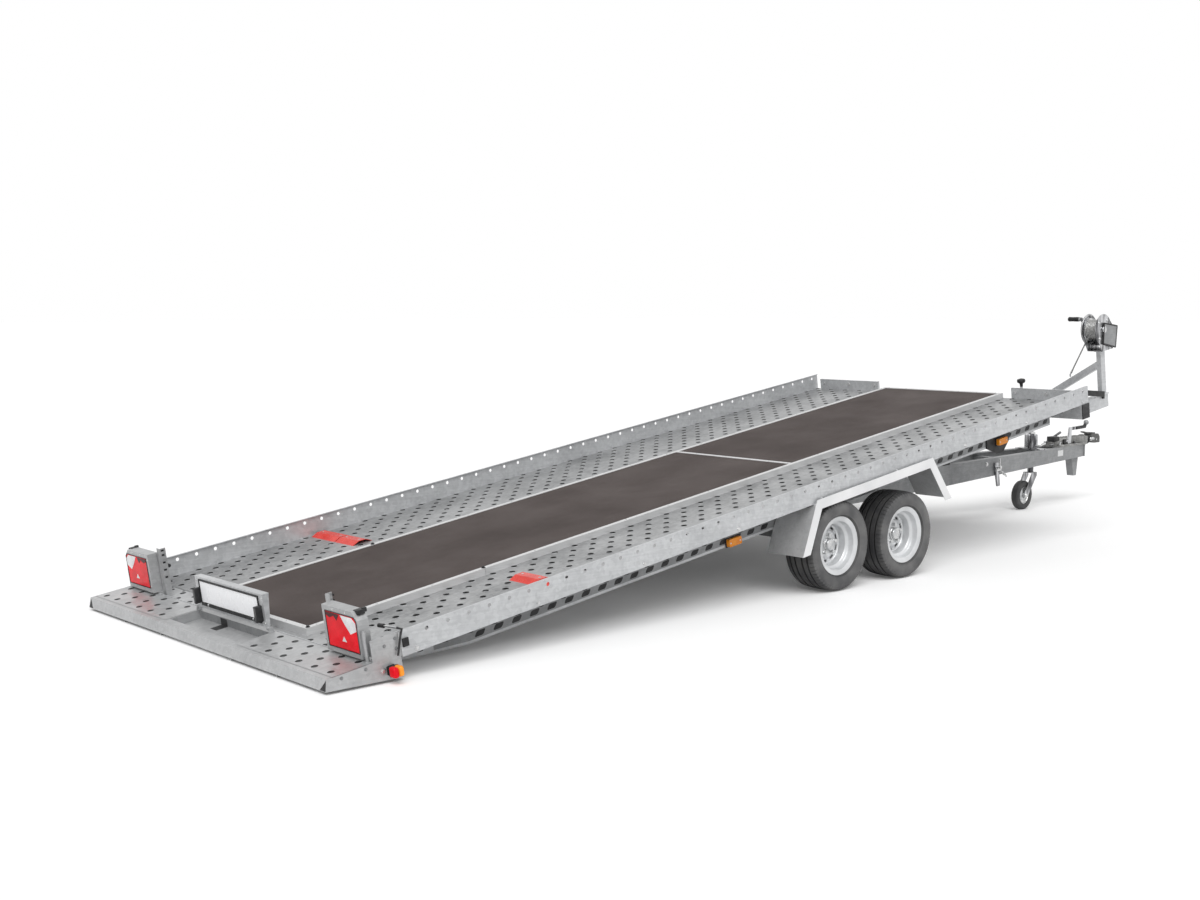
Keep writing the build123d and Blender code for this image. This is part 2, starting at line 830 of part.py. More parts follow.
def lamp_outline(s, margin):
    """Rear view of a lamp housing, its upper outer corner cut off, drawn margin inside its edge."""
    Polyline(
        (s * (lamp_inner_y + margin), lamp_low + margin),
        (s * (lamp_outer_y - margin), lamp_low + margin),
        (s * (lamp_outer_y - margin), lamp_top - lamp_corner),
        (s * (lamp_outer_y - lamp_corner), lamp_top - margin),
        (s * (lamp_inner_y + margin), lamp_top - margin),
        close=True,
    )


for name, s in sides.items():
    with BuildPart() as housing:
        with BuildSketch(section.offset(lamp_rear)):
            with BuildLine():
                lamp_outline(s, 0)
            make_face()
        extrude(amount=lamp_depth)
        with BuildSketch(section.offset(lamp_rear + sheet)):
            with BuildLine():
                lamp_outline(s, sheet)
            make_face()
        extrude(amount=lamp_depth - 2 * sheet, mode=Mode.SUBTRACT)
        with BuildSketch(section.offset(lamp_rear)):
            with BuildLine():
                lamp_outline(s, lamp_border)
            make_face()
        extrude(amount=sheet, mode=Mode.SUBTRACT)
        with BuildSketch(deck.offset(knuckle_low)):
            with Locations((lamp_pin_u, s * lamp_pin_y)):
                Circle(knuckle_radius)
            with Locations((lamp_pin_u, s * (lamp_outer_y + lamp_pin_y) / 2)):
                Rectangle(knuckle_radius, lamp_pin_y - lamp_outer_y)
            with Locations((lamp_pin_u, s * lamp_pin_y)):
                Circle(lamp_pin_radius + bore_clearance, mode=Mode.SUBTRACT)
        extrude(amount=knuckle_high - knuckle_low)
    save(housing, f"lamp_housing_{name}")
    with BuildPart() as lens:
        with BuildSketch(section.offset(lamp_rear - lens_proud)):
            with BuildLine():
                lamp_outline(s, lamp_border)
            make_face()
        extrude(amount=lamp_depth - sheet + lens_proud)
    save(lens, f"lamp_lens_{name}")

post_leg = 30.0
post_y = lamp_inner_y - post_leg - 10
post_sheet = 3.0
post_front = lamp_front + 24
post_top = 205.0
with BuildPart() as lamp_posts:
    for s in (1, -1):
        with BuildSketch(deck.offset(lane_floor)):
            with BuildLine():
                Polyline(
                    (post_front - post_leg, s * post_y),
                    (post_front - post_leg, s * (post_y + post_leg)),
                    (post_front - post_leg + post_sheet, s * (post_y + post_leg)),
                    (post_front - post_leg + post_sheet, s * (post_y + post_sheet)),
                    (post_front, s * (post_y + post_sheet)),
                    (post_front, s * post_y),
                    close=True,
                )
            make_face()
        extrude(amount=post_top - lane_floor)
        with BuildSketch(deck.offset(flap_top)):
            with Locations((lamp_pin_u, s * lamp_pin_y)):
                Circle(lamp_pin_radius)
        extrude(amount=knuckle_high + 6 - flap_top)
        with BuildSketch(deck.offset(flap_top)):
            with Locations((lamp_pin_u, s * lamp_pin_y)):
                Circle(knuckle_radius)
        extrude(amount=knuckle_low - 1 - flap_top)
save(lamp_posts, "lamp_posts")

# ---------------------------------------------------------------- number plate on its folding holder
plate_u = recess_front - 3
plate_width = 520.0
plate_height = 112.0
plate_low = 24.0
plate_thickness = 2.0
holder_low = 5.0
holder_top = 150.0
wing_depth = 32.0
wing_round = 10.0
with BuildPart() as plate_holder:
    with BuildSketch(section.offset(plate_u)):
        with Locations((0, (holder_low + holder_top) / 2)):
            Rectangle(2 * wing_y, holder_top - holder_low)
    extrude(amount=sheet)
    with BuildSketch(deck.offset(holder_top - sheet)):
        with Locations((plate_u + wing_depth / 2, 0)):
            Rectangle(wing_depth, 2 * wing_y)
    extrude(amount=sheet)
    for s in (1, -1):
        with BuildSketch(side.offset(-s * (wing_y - sheet))):
            with BuildLine():
                Polyline(
                    (plate_u, holder_low),
                    (plate_u, holder_top),
                    (plate_u + wing_depth, holder_top),
                    (plate_pin_u + wing_round, plate_pin_w),
                    (plate_pin_u - wing_round, plate_pin_w),
                    close=True,
                )
            make_face()
            with Locations((plate_pin_u, plate_pin_w)):
                Circle(wing_round)
                Circle(plate_pin_radius + bore_clearance, mode=Mode.SUBTRACT)
        extrude(amount=-s * sheet)
save(plate_holder, "plate_holder")

with BuildPart() as number_plate:
    with BuildSketch(section.offset(plate_u - plate_thickness)):
        with Locations((0, plate_low + plate_height / 2)):
            RectangleRounded(plate_width, plate_height, 8)
    extrude(amount=plate_thickness)
save(number_plate, "number_plate")

plate_lamp_width = 20.0
plate_lamp_gap = 2.0
plate_lamp_depth = 30.0
plate_lamp_low = 30.0
plate_lamp_high = 100.0
plate_lamp_y = plate_width / 2 + plate_lamp_gap + plate_lamp_width / 2
with BuildPart() as plate_lamps:
    for s in (1, -1):
        with BuildSketch(section.offset(plate_u - plate_lamp_depth)):
            with Locations((s * plate_lamp_y, (plate_lamp_low + plate_lamp_high) / 2)):
                RectangleRounded(plate_lamp_width, plate_lamp_high - plate_lamp_low, 4)
        extrude(amount=plate_lamp_depth)
save(plate_lamps, "plate_lamps")

# ---------------------------------------------------------------- small fittings on the bed
red_plate_length = 120.0
red_plate_u = trim_joint + 57
red_plate_inner = inner_edge + 172
red_plate_outer = lane_outer - 25
red_plate_split = (red_plate_inner + red_plate_outer) / 2 - 26
red_plate_gap = 6.0
red_plate_height = 17.0
red_plate_foot = 22.0
red_plate_places = (
    (red_plate_inner, red_plate_split - red_plate_gap / 2),
    (red_plate_split + red_plate_gap / 2, red_plate_outer),
)
with BuildPart() as red_plates:
    for s in (1, -1):
        for near, far in red_plate_places:
            with BuildSketch(side.offset(-s * near)):
                with BuildLine():
                    Polyline(
                        (red_plate_u - red_plate_length / 2, lane_floor),
                        (red_plate_u - red_plate_foot, lane_floor + red_plate_height),
                        (red_plate_u + red_plate_foot, lane_floor + red_plate_height),
                        (red_plate_u + red_plate_length / 2, lane_floor),
                        (red_plate_u + red_plate_length / 2 - 2 * sheet, lane_floor),
                        (red_plate_u + red_plate_foot - sheet / 2, lane_floor + red_plate_height - sheet),
                        (red_plate_u - red_plate_foot + sheet / 2, lane_floor + red_plate_height - sheet),
                        (red_plate_u - red_plate_length / 2 + 2 * sheet, lane_floor),
                        close=True,
                    )
                make_face()
            extrude(amount=-s * (far - near))
save(red_plates, "red_plates")

head_plate = 4.0
head_width = 509.0
head_outer_y = lane_outer - 29
head_mid_y = head_outer_y - head_width / 2
head_low = -60.0
head_top = 36.0
with BuildPart() as head_plates:
    for s in (1, -1):
        with BuildSketch(section.offset(rail_front)):
            with Locations((s * head_mid_y, (head_low + head_top) / 2)):
                Rectangle(head_width, head_top - head_low)
        extrude(amount=head_plate)
save(head_plates, "head_plates")

marker_u = -859.0
marker_w = -150.0
marker_length = 90.0
marker_height = 38.0
marker_depth = 24.0
front_marker_u = 1510.0
front_marker_w = -148.0
bracket_thickness = 8.0
bracket_top = -95.0
bracket_depth = 123.0
with BuildPart() as marker_brackets:
    for s in (1, -1):
        with BuildSketch(side.offset(-s * beam_outer)):
            with BuildLine():
                Polyline(
                    (front_marker_u - 140, bracket_top),
                    (front_marker_u + 115, bracket_top),
                    (front_marker_u + 90, bracket_top - 73),
                    (front_marker_u + 30, bracket_top - bracket_depth),
                    (front_marker_u - 40, bracket_top - bracket_depth),
                    (front_marker_u - 140, bracket_top - 73),
                    close=True,
                )
            make_face()
        extrude(amount=-s * bracket_thickness)
save(marker_brackets, "marker_brackets")

with BuildPart() as side_markers:
    for s in (1, -1):
        for u, w, y in (
            (marker_u, marker_w, beam_outer),
            (front_marker_u, front_marker_w, beam_outer + bracket_thickness),
        ):
            with BuildSketch(side.offset(-s * y)):
                with Locations((u, w)):
                    RectangleRounded(marker_length, marker_height, 6)
            extrude(amount=-s * marker_depth)
save(side_markers, "side_markers")

rear_marker_u = flap_front - 55
rear_marker_w = -66.0
marker_arm = 20.0
rear_marker_depth = 40.0
with BuildPart() as rear_markers:
    for s in (1, -1):
        with BuildSketch(side.offset(-s * flap_half_width)):
            with Locations((rear_marker_u, rear_marker_w)):
                RectangleRounded(34, 30, 6)
        extrude(amount=-s * marker_arm)
        with BuildSketch(side.offset(-s * (flap_half_width + marker_arm))):
            with Locations((rear_marker_u, rear_marker_w)):
                RectangleRounded(46, 42, 10)
        extrude(amount=-s * rear_marker_depth)
save(rear_markers, "rear_markers")

# ---------------------------------------------------------------- winch on its post
winch_y = 55 - lane_outer
post_size = 50.0
post_breadth = 30.0
post_u = rail_front + 265
base_rear = rail_front + head_plate
base_low = -111.0
winch_seat = 250.0
brace_low_y = winch_y + 370
brace_low_w = -52.0
brace_top_w = 165.0
brace_thickness = 46.0
seat_plate = 5.0
with BuildPart() as winch_post:
    with BuildSketch(section.offset(base_rear)):
        for v in (winch_y, brace_low_y):
            with Locations((v, (base_low + lane_floor) / 2)):
                Rectangle(post_size, lane_floor - base_low)
    extrude(amount=post_u + post_size / 2 - base_rear)
    with BuildSketch(deck.offset(lane_floor)):
        with Locations((post_u, winch_y)):
            Rectangle(post_size, post_breadth)
    extrude(amount=winch_seat - lane_floor)
    with BuildSketch(section.offset(post_u - post_size / 2)):
        with BuildLine():
            Polyline(
                (winch_y, brace_top_w - brace_thickness / 2),
                (winch_y, brace_top_w + brace_thickness / 2),
                (brace_low_y, brace_low_w + brace_thickness / 2),
                (brace_low_y, brace_low_w - brace_thickness / 2),
                close=True,
            )
        make_face()
    extrude(amount=post_size)
save(winch_post, "winch_post")

winch_half = 50.0
winch_sheet = 4.0
drum_u = post_u - 40
drum_w = winch_seat + 135
cheek_radius = 95.0
winch_front = post_u + 70
seat_length_u = 130.0
front_plate_mid = winch_seat + 80
front_plate_height = 130.0
winch_axle_radius = 8.0
with BuildPart() as winch_frame:
    with BuildSketch(deck.offset(winch_seat)):
        with Locations((post_u, winch_y)):
            Rectangle(seat_length_u, 2 * winch_half)
    extrude(amount=seat_plate)
    for t in (1, -1):
        with BuildSketch(side.offset(-winch_y - t * winch_half + (t - 1) / 2 * winch_sheet)):
            with Locations((drum_u, drum_w)):
                Circle(cheek_radius)
            with BuildLine():
                Polyline(
                    (drum_u - 25, winch_seat),
                    (winch_front - 5, winch_seat),
                    (winch_front, drum_w + 15),
                    (drum_u + 75, drum_w + 55),
                    (drum_u, drum_w),
                    (drum_u - 75, drum_w - 45),
                    close=True,
                )
            make_face()
            with Locations((drum_u, drum_w)):
                Circle(winch_axle_radius + bore_clearance, mode=Mode.SUBTRACT)
        extrude(amount=winch_sheet)
    with BuildSketch(section.offset(winch_front - winch_sheet)):
        with Locations((winch_y, front_plate_mid)):
            Rectangle(2 * winch_half, front_plate_height)
    extrude(amount=winch_sheet)
save(winch_frame, "winch_frame")

drum_side_gap = 1.0
drum_flange = 3.0
flange_radius = 78.0
rope_radius = 52.0
drum_length = 2 * (winch_half - winch_sheet - drum_side_gap)
crank_start = -winch_y - winch_half - winch_sheet - 3
crank_sheet = 6.0
crank_run = -60.0
crank_rise = 72.0
crank_width = 22.0
grip_radius = 12.0
grip_length = 85.0
with BuildPart() as winch_drum:
    with BuildSketch(side.offset(-winch_y - drum_length / 2)):
        with Locations((drum_u, drum_w)):
            Circle(rope_radius)
    extrude(amount=drum_length)
    for start in (-winch_y - drum_length / 2, -winch_y + drum_length / 2 - drum_flange):
        with BuildSketch(side.offset(start)):
            with Locations((drum_u, drum_w)):
                Circle(flange_radius)
        extrude(amount=drum_flange)
    with BuildSketch(side.offset(crank_start)):
        with Locations((drum_u, drum_w)):
            Circle(winch_axle_radius)
    extrude(amount=2 * winch_half + winch_sheet + 9)
    with BuildSketch(side.offset(crank_start - crank_sheet)):
        with Locations(Location((drum_u + crank_run / 2, drum_w + crank_rise / 2))):
            SlotCenterToCenter(
                hypot(crank_run, crank_rise), crank_width, rotation=degrees(atan2(crank_rise, crank_run))
            )
    extrude(amount=crank_sheet)
    with BuildSketch(side.offset(crank_start - crank_sheet)):
        with Locations((drum_u + crank_run, drum_w + crank_rise)):
            Circle(grip_radius)
    extrude(amount=-grip_length)
save(winch_drum, "winch_drum")

# ---------------------------------------------------------------- overrun coupling
housing_rear = member_front_x - 370
housing_front = member_front_x + 80
housing_half = 45.0
housing_top = coupling_z + 32
housing_slope = 160.0
foot_plate = 8.0
foot_half = 78.0
bellows_radius = 36.0
bellows_length = 50.0
with BuildPart() as coupling_housing:
    with BuildSketch(ground_side.offset(-housing_half)):
        with BuildLine():
            Polyline(
                (housing_rear, member_high_top),
                (housing_front, member_high_top),
                (housing_front, housing_top),
                (housing_rear + housing_slope, housing_top),
                (housing_rear, coupling_z + 10),
                close=True,
            )
        make_face()
    extrude(amount=2 * housing_half)
    with BuildSketch(ground_side.offset(-foot_half)):
        with Locations(((housing_rear + member_front_x) / 2, member_high_top + foot_plate / 2)):
            Rectangle(member_front_x - housing_rear, foot_plate)
    extrude(amount=2 * foot_half)
save(coupling_housing, "coupling_housing")

ahead = Plane(origin=(pivot_x, 0, coupling_z), x_dir=(0, 1, 0), z_dir=(1, 0, 0))
with BuildPart() as coupling_bellows:
    with BuildSketch(ahead.offset(housing_front)):
        Circle(bellows_radius)
    extrude(amount=bellows_length)
save(coupling_bellows, "coupling_bellows")

ball_radius = 25.25
ball_x = coupling_tip_x - 42
head_half = 38.0
head_bottom = coupling_z - 28
head_rear = coupling_tip_x - 120
socket_depth = 18.0
draw_tube_radius = 24.0
with BuildPart() as coupling_head:
    with BuildSketch(ahead.offset(housing_front + bellows_length)):
        Circle(draw_tube_radius)
    extrude(amount=head_rear + 20 - housing_front - bellows_length)
    with BuildSketch(ground_side.offset(-head_half)):
        with BuildLine():
            Polyline(
                (head_rear, head_bottom + 8),
                (head_rear + 36, head_bottom),
                (coupling_tip_x, head_bottom),
                (coupling_tip_x, coupling_z + 14),
                (coupling_tip_x - 20, coupling_z + 38),
                (head_rear + 40, coupling_z + 42),
                (head_rear, coupling_z + 24),
                close=True,
            )
        make_face()
    extrude(amount=2 * head_half)
    with Locations((pivot_x + ball_x, 0, head_bottom + socket_depth)):
        Sphere(ball_radius, mode=Mode.SUBTRACT)
    with BuildSketch(ground_top.offset(head_bottom)):
        with Locations((ball_x, 0)):
            Circle(ball_radius)
    extrude(amount=socket_depth, mode=Mode.SUBTRACT)
save(coupling_head, "coupling_head")

lever_thickness = 12.0
lever_y = -housing_half - lever_thickness / 2 - 1
lever_foot = member_high_top + foot_plate + 11
lever_x = member_front_x - 220
lever_knob = 18.0
with BuildPart() as handbrake_lever:
    with BuildSketch(ground_side.offset(-lever_y - lever_thickness / 2 - 1)):
        with BuildLine():
            Polyline(
                (lever_x, lever_foot),
                (lever_x + 45, lever_foot),
                (lever_x + 52, lever_foot + 96),
                (lever_x + 250, lever_foot + 102),
                (lever_x + 268, lever_foot + 134),
                (lever_x + 250, lever_foot + 144),
                (lever_x + 240, lever_foot + 122),
                (lever_x + 26, lever_foot + 118),
                close=True,
            )
        make_face()
        with Locations((lever_x + 262, lever_foot + 142)):
            Circle(lever_knob)
    extrude(amount=lever_thickness)
save(handbrake_lever, "handbrake_lever")

leg_half = 26.0
leg_rear = member_front_x - 110
leg_front = member_front_x - 15
leg_low = 194.0
with BuildPart() as support_leg:
    with BuildSketch(ground_side.offset(-leg_half)):
        with BuildLine():
            Polyline(
                (leg_rear, member_bottom(leg_rear)),
                (leg_front, member_bottom(leg_front)),
                (leg_front - 23, leg_low),
                (leg_rear + 34, leg_low),
                close=True,
            )
        make_face()
    extrude(amount=2 * leg_half)
save(support_leg, "support_leg")

lock_x = 2500.0
lock_thickness = 14.0
lock_top = member_high_top - 31
with BuildPart() as tilt_lock:
    with BuildSketch(ground_side.offset(member_y(lock_x - 30) + seam)):
        with BuildLine():
            Polyline(
                (lock_x - 30, lock_top),
                (lock_x + 30, lock_top),
                (lock_x + 24, lock_top - 65),
                (lock_x + 36, lock_top - 159),
                (lock_x + 12, lock_top - 163),
                (lock_x - 12, lock_top - 65),
                close=True,
            )
        make_face()
    extrude(amount=lock_thickness)
save(tilt_lock, "tilt_lock")

buffer_x = 1850.0
buffer_gap = 5.5
buffer_length = 90.0
buffer_width = 36.0
buffer_top = pivot_z + deck_above_pivot + under_lane - cross_depth - buffer_gap
with BuildPart() as bed_buffers:
    for s in (1, -1):
        with BuildSketch(ground_top.offset(member_high_top)):
            with Locations((buffer_x, s * (member_y(buffer_x) - member_flange / 2))):
                Rectangle(buffer_length, buffer_width)
        extrude(amount=buffer_top - member_high_top)
save(bed_buffers, "bed_buffers")

# ---------------------------------------------------------------- jockey wheel
jockey_x = member_front_x - jockey_setback
swivel_z = 2 * jockey_radius + 56
swivel_radius = 12.0
swivel_depth = 40.0
inner_tube_radius = 22.0
outer_tube_low = swivel_z + 38
clamp_thickness = 8.0
clamp_half = member_y(jockey_x) - 14
clamp_length = 90.0
collar_wall = 8.0
collar_height = 60.0
with BuildPart() as jockey_tube:
    with BuildSketch(ground_top.offset(outer_tube_low)):
        with Locations((jockey_x, 0)):
            Circle(jockey_tube_radius)
    extrude(amount=jockey_tube_top - outer_tube_low)
    with BuildSketch(ground_top.offset(swivel_z)):
        with Locations((jockey_x, 0)):
            Circle(inner_tube_radius)
    extrude(amount=outer_tube_low - swivel_z)
    with BuildSketch(ground_top.offset(swivel_z)):
        with Locations((jockey_x, 0)):
            Circle(swivel_radius + bore_clearance)
    extrude(amount=swivel_depth, mode=Mode.SUBTRACT)
    with BuildSketch(ground_top.offset(member_high_top)):
        with Locations((jockey_x, 0)):
            Rectangle(clamp_length, 2 * clamp_half)
    extrude(amount=clamp_thickness)
    with BuildSketch(ground_top.offset(member_high_top)):
        with Locations((jockey_x, 0)):
            Circle(jockey_tube_radius + collar_wall)
    extrude(amount=collar_height)
save(jockey_tube, "jockey_tube")

fork_gap = 0.5
fork_sheet = 4.0
fork_clearance = 5.5
fork_half = jockey_tyre_width / 2 + fork_clearance + fork_sheet
jockey_axle_x = jockey_x - jockey_trail
jockey_pin_radius = 8.0
fork_top = swivel_z - fork_gap
crown_half = 30.0
crown_depth = 26.0
fork_tip = 16.0
with BuildPart() as jockey_fork:
    with BuildSketch(ground_side.offset(-fork_half)):
        with BuildLine():
            Polyline(
                (jockey_x - crown_half, fork_top),
                (jockey_x + crown_half, fork_top),
                (jockey_x + crown_half, fork_top - crown_depth),
                (jockey_axle_x + fork_tip + 4, jockey_radius - fork_tip),
                (jockey_axle_x - fork_tip, jockey_radius - fork_tip),
                (jockey_axle_x - fork_tip, jockey_radius + fork_tip),
                close=True,
            )
        make_face()
    extrude(amount=2 * fork_half)
    with BuildSketch(ground_side.offset(-fork_half + fork_sheet)):
        with BuildLine():
            Polyline(
                (jockey_axle_x - 2 * crown_half, fork_top - fork_sheet),
                (jockey_x + 2 * crown_half, fork_top - fork_sheet),
                (jockey_x + 2 * crown_half, 0),
                (jockey_axle_x - 2 * crown_half, 0),
                close=True,
            )
        make_face()
    extrude(amount=2 * (fork_half - fork_sheet), mode=Mode.SUBTRACT)
    with BuildSketch(ground_top.offset(fork_top)):
        with Locations((jockey_x, 0)):
            Circle(swivel_radius)
    extrude(amount=swivel_depth - 2)
    with BuildSketch(ground_side.offset(-fork_half)):
        with Locations((jockey_axle_x, jockey_radius)):
            Circle(jockey_pin_radius)
    extrude(amount=2 * fork_half)
save(jockey_fork, "jockey_fork")

jockey_rim_radius = 62.0
jockey_rim_half = 20.0
jockey_rim_wall = 6.0
jockey_hub_half = 28.0
jockey_hub_radius = 18.0
jockey_shoulder = 14.0
with BuildPart() as jockey_tyre:
    with BuildSketch(ground_side.offset(-jockey_tyre_width / 2)):
        with Locations((jockey_axle_x, jockey_radius)):
            Circle(jockey_radius)
            Circle(jockey_rim_radius, mode=Mode.SUBTRACT)
    extrude(amount=jockey_tyre_width)
    rolling_edges = jockey_tyre.edges().filter_by(GeomType.CIRCLE).group_by(SortBy.RADIUS)[-1]
    fillet(rolling_edges, jockey_shoulder)
save(jockey_tyre, "jockey_tyre")

with BuildPart() as jockey_rim:
    with BuildSketch(ground_side.offset(-jockey_rim_half)):
        with Locations((jockey_axle_x, jockey_radius)):
            Circle(jockey_rim_radius)
            Circle(jockey_rim_radius - jockey_rim_wall, mode=Mode.SUBTRACT)
    extrude(amount=2 * jockey_rim_half)
    with BuildSketch(ground_side.offset(-jockey_rim_wall / 2)):
        with Locations((jockey_axle_x, jockey_radius)):
            Circle(jockey_rim_radius)
    extrude(amount=jockey_rim_wall)
    with BuildSketch(ground_side.offset(-jockey_hub_half)):
        with Locations((jockey_axle_x, jockey_radius)):
            Circle(jockey_hub_radius)
    extrude(amount=2 * jockey_hub_half)
    with BuildSketch(ground_side.offset(-jockey_hub_half)):
        with Locations((jockey_axle_x, jockey_radius)):
            Circle(jockey_pin_radius + bore_clearance)
    extrude(amount=2 * jockey_hub_half, mode=Mode.SUBTRACT)
save(jockey_rim, "jockey_rim")
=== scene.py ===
import json
from math import cos, pi, radians, sin

import bmesh
import bpy
from mathutils import Matrix, Vector


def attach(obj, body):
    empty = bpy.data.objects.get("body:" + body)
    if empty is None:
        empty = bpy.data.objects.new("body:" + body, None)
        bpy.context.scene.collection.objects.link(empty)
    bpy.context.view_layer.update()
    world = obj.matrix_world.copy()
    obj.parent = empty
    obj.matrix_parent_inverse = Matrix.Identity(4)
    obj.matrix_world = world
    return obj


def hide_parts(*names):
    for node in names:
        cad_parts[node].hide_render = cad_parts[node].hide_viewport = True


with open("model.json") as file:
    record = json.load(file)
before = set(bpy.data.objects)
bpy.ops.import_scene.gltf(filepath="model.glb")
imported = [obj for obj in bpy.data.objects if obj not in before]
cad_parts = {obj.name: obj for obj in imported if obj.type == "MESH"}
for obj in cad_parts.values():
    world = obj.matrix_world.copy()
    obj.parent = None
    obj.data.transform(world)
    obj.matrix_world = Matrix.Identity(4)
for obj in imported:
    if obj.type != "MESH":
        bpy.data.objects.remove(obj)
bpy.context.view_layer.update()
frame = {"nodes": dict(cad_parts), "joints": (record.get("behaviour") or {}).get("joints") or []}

# ---------------- floor, light and camera
# The trailer is parked on a pale studio floor that runs out of sight.  One wide soft lamp stands
# high on its right-hand rear side, and pale walls all round fill the shadows.


def operator(operation, swapped=False):
    """A Math node as an operator between a wire and a wire or number."""
    return lambda self, other: self.math(operation, *((other, self) if swapped else (self, other)))


class Wire:
    """A socket of a node tree.  Sums, products and comparisons on it add Math nodes."""

    __add__ = __radd__ = operator("ADD")
    __mul__ = __rmul__ = operator("MULTIPLY")
    __sub__, __rsub__ = operator("SUBTRACT"), operator("SUBTRACT", swapped=True)
    __gt__, __lt__ = operator("GREATER_THAN"), operator("LESS_THAN")

    def __init__(self, tree, socket=None):
        self.tree, self.socket = tree, socket

    def node(self, kind, sockets=None, out=0, **settings):
        made = self.tree.nodes.new(kind)
        for name, value in settings.items():
            setattr(made, name, value)
        for name, value in (sockets or {}).items():
            if isinstance(value, Wire):
                self.tree.links.new(value.socket, made.inputs[name])
            else:
                made.inputs[name].default_value = value
        return Wire(self.tree, made.outputs[out] if made.outputs else None)

    def math(self, operation, first, second=0.0):
        return self.node("ShaderNodeMath", {0: first, 1: second}, operation=operation)

    def __abs__(self):
        return self.math("ABSOLUTE", self)

    def blend(self, dark, light):
        """A colour between two others, this value of the way from the first to the second."""
        ends = [tone if isinstance(tone, Wire) else (*tone, 1) for tone in (dark, light)]
        return self.node("ShaderNodeMix", {0: self, 6: ends[0], 7: ends[1]}, 2, data_type="RGBA")

    def spread(self, start=0.0, end=1.0, low=0.3, high=0.7):
        """This value, clamped from low to high, stretched to run from start to end."""
        return self.node("ShaderNodeMapRange", {"Value": self, 1: low, 2: high, 3: start, 4: end})

    def noise(self, scale, detail, rough=0.5):
        sockets = {"Vector": self, "Scale": scale, "Detail": detail, "Roughness": rough}
        return self.node("ShaderNodeTexNoise", sockets)

    def cells(self, scale, out=0):
        """Voronoi cells of this place: the distance from their middles, or with out=1 their colours."""
        return self.node("ShaderNodeTexVoronoi", {"Vector": self, "Scale": scale}, out)

    def stretched(self, *scale):
        return self.node("ShaderNodeMapping", {"Vector": self, "Scale": scale})

    def bump(self, strength, distance):
        return self.node("ShaderNodeBump", {"Height": self, "Strength": strength, "Distance": distance})


def finish(name, recipe, slot=None, **constants):
    """A material: recipe(place) gives the sockets that vary, the constants sit on the shader itself.
    slot names the record's material slot that pieces of this finish usually take, but is not used."""
    material = bpy.data.materials.new(name)
    material.use_nodes = True
    tree = material.node_tree
    shader = tree.nodes["Principled BSDF"]
    for socket, value in constants.items():
        shader.inputs[socket.replace("_", " ")].default_value = value
    place = Wire(tree).node("ShaderNodeTexCoord", out="Object")
    for socket, wire in recipe(place).items():
        tree.links.new(wire.socket, shader.inputs[socket])
    return material


def add(name, data):
    """An object of that name in the scene."""
    made = bpy.data.objects.new(name, data)
    bpy.context.scene.collection.objects.link(made)
    return made


def floor_recipe(place):
    seen = place.node("ShaderNodeLightPath", out="Is Camera Ray")
    return {"Emission Color": seen.blend((0, 0, 0), (0.07, 0.07, 0.07))}


pale = {"Base_Color": (0.96, 0.96, 0.96, 1), "Roughness": 0.9, "Emission_Strength": 1.0}
floor_half = 120.0
floor_mesh = bpy.data.meshes.new("floor")
floor_corners = [(x * floor_half, y * floor_half, 0) for x, y in ((-1, -1), (1, -1), (1, 1), (-1, 1))]
floor_mesh.from_pydata(floor_corners, [], [(0, 1, 2, 3)])
floor_mesh.materials.append(finish("pale_floor", floor_recipe, **pale))
add("floor", floor_mesh)

world = bpy.data.worlds.new("studio")
bpy.context.scene.world = world
world.use_nodes = True
background = world.node_tree.nodes["Background"]
walls = Wire(world.node_tree)
rays = ("Camera", "Glossy", "Transmission")
seen_from = [walls.node("ShaderNodeLightPath", out=f"Is {ray} Ray") for ray in rays]
seen_white = (seen_from[0] + seen_from[1] + seen_from[2]) > 0.5
wall_light = 0.47
strength = seen_white * (1 - wall_light) + wall_light
walls.tree.links.new(strength.socket, background.inputs["Strength"])
background.inputs["Color"].default_value = (1, 1, 1, 1)

lamp_data = bpy.data.lights.new("soft_lamp", "SUN")
lamp_data.energy, lamp_data.angle = 2.3, radians(50)
lamp_stands_at = Vector((-0.42, -0.5, 0.76))
add("soft_lamp", lamp_data).rotation_euler = lamp_stands_at.to_track_quat("Z", "Y").to_euler()

camera_data = bpy.data.cameras.new("camera")
camera_data.lens, camera_data.sensor_width = 44.28, 36.0
camera_data.clip_start, camera_data.clip_end = 0.1, 400
camera = add("camera", camera_data)
camera.location = (-6.5919, -5.7553, 1.4537)
looks_down, looks_along = 5.579, 47.785
camera.rotation_euler = (radians(90 - looks_down), 0, radians(looks_along - 90))
bpy.context.scene.camera = camera
bpy.context.scene.view_settings.view_transform = "Standard"


# ---------------- punched wheel lanes
# The two wheel lanes are 2.5 mm steel sheet, hot-dip galvanised after punching.  Each hole is
# punched upwards, so a sharp raised rim stands round it for grip; the sheet is bolted at its edges.
bed_tilt = next(joint for joint in frame["joints"] if joint["name"] == "bed_tilt")
pivot = Vector(bed_tilt["pos_m"])
tilt = -radians(bed_tilt["range_deg"][0])
deck_above_pivot = 0.143
millimetres = Matrix.Scale(0.001, 4)
# bed coordinates, in millimetres: u along the bed from the pivot, v to the left, w above its floor
on_bed = (
    Matrix.Translation(pivot)
    @ Matrix.Rotation(-tilt, 4, "Y")
    @ Matrix.Translation((0, 0, deck_above_pivot))
    @ millimetres
)


def span(node, place=on_bed):
    """Lowest and highest corner of a CAD node in the given coordinates."""
    back = place.inverted()
    points = [back @ vertex.co for vertex in frame["nodes"][node].data.vertices]
    return [Vector(pick(p[i] for p in points) for i in range(3)) for pick in (min, max)]


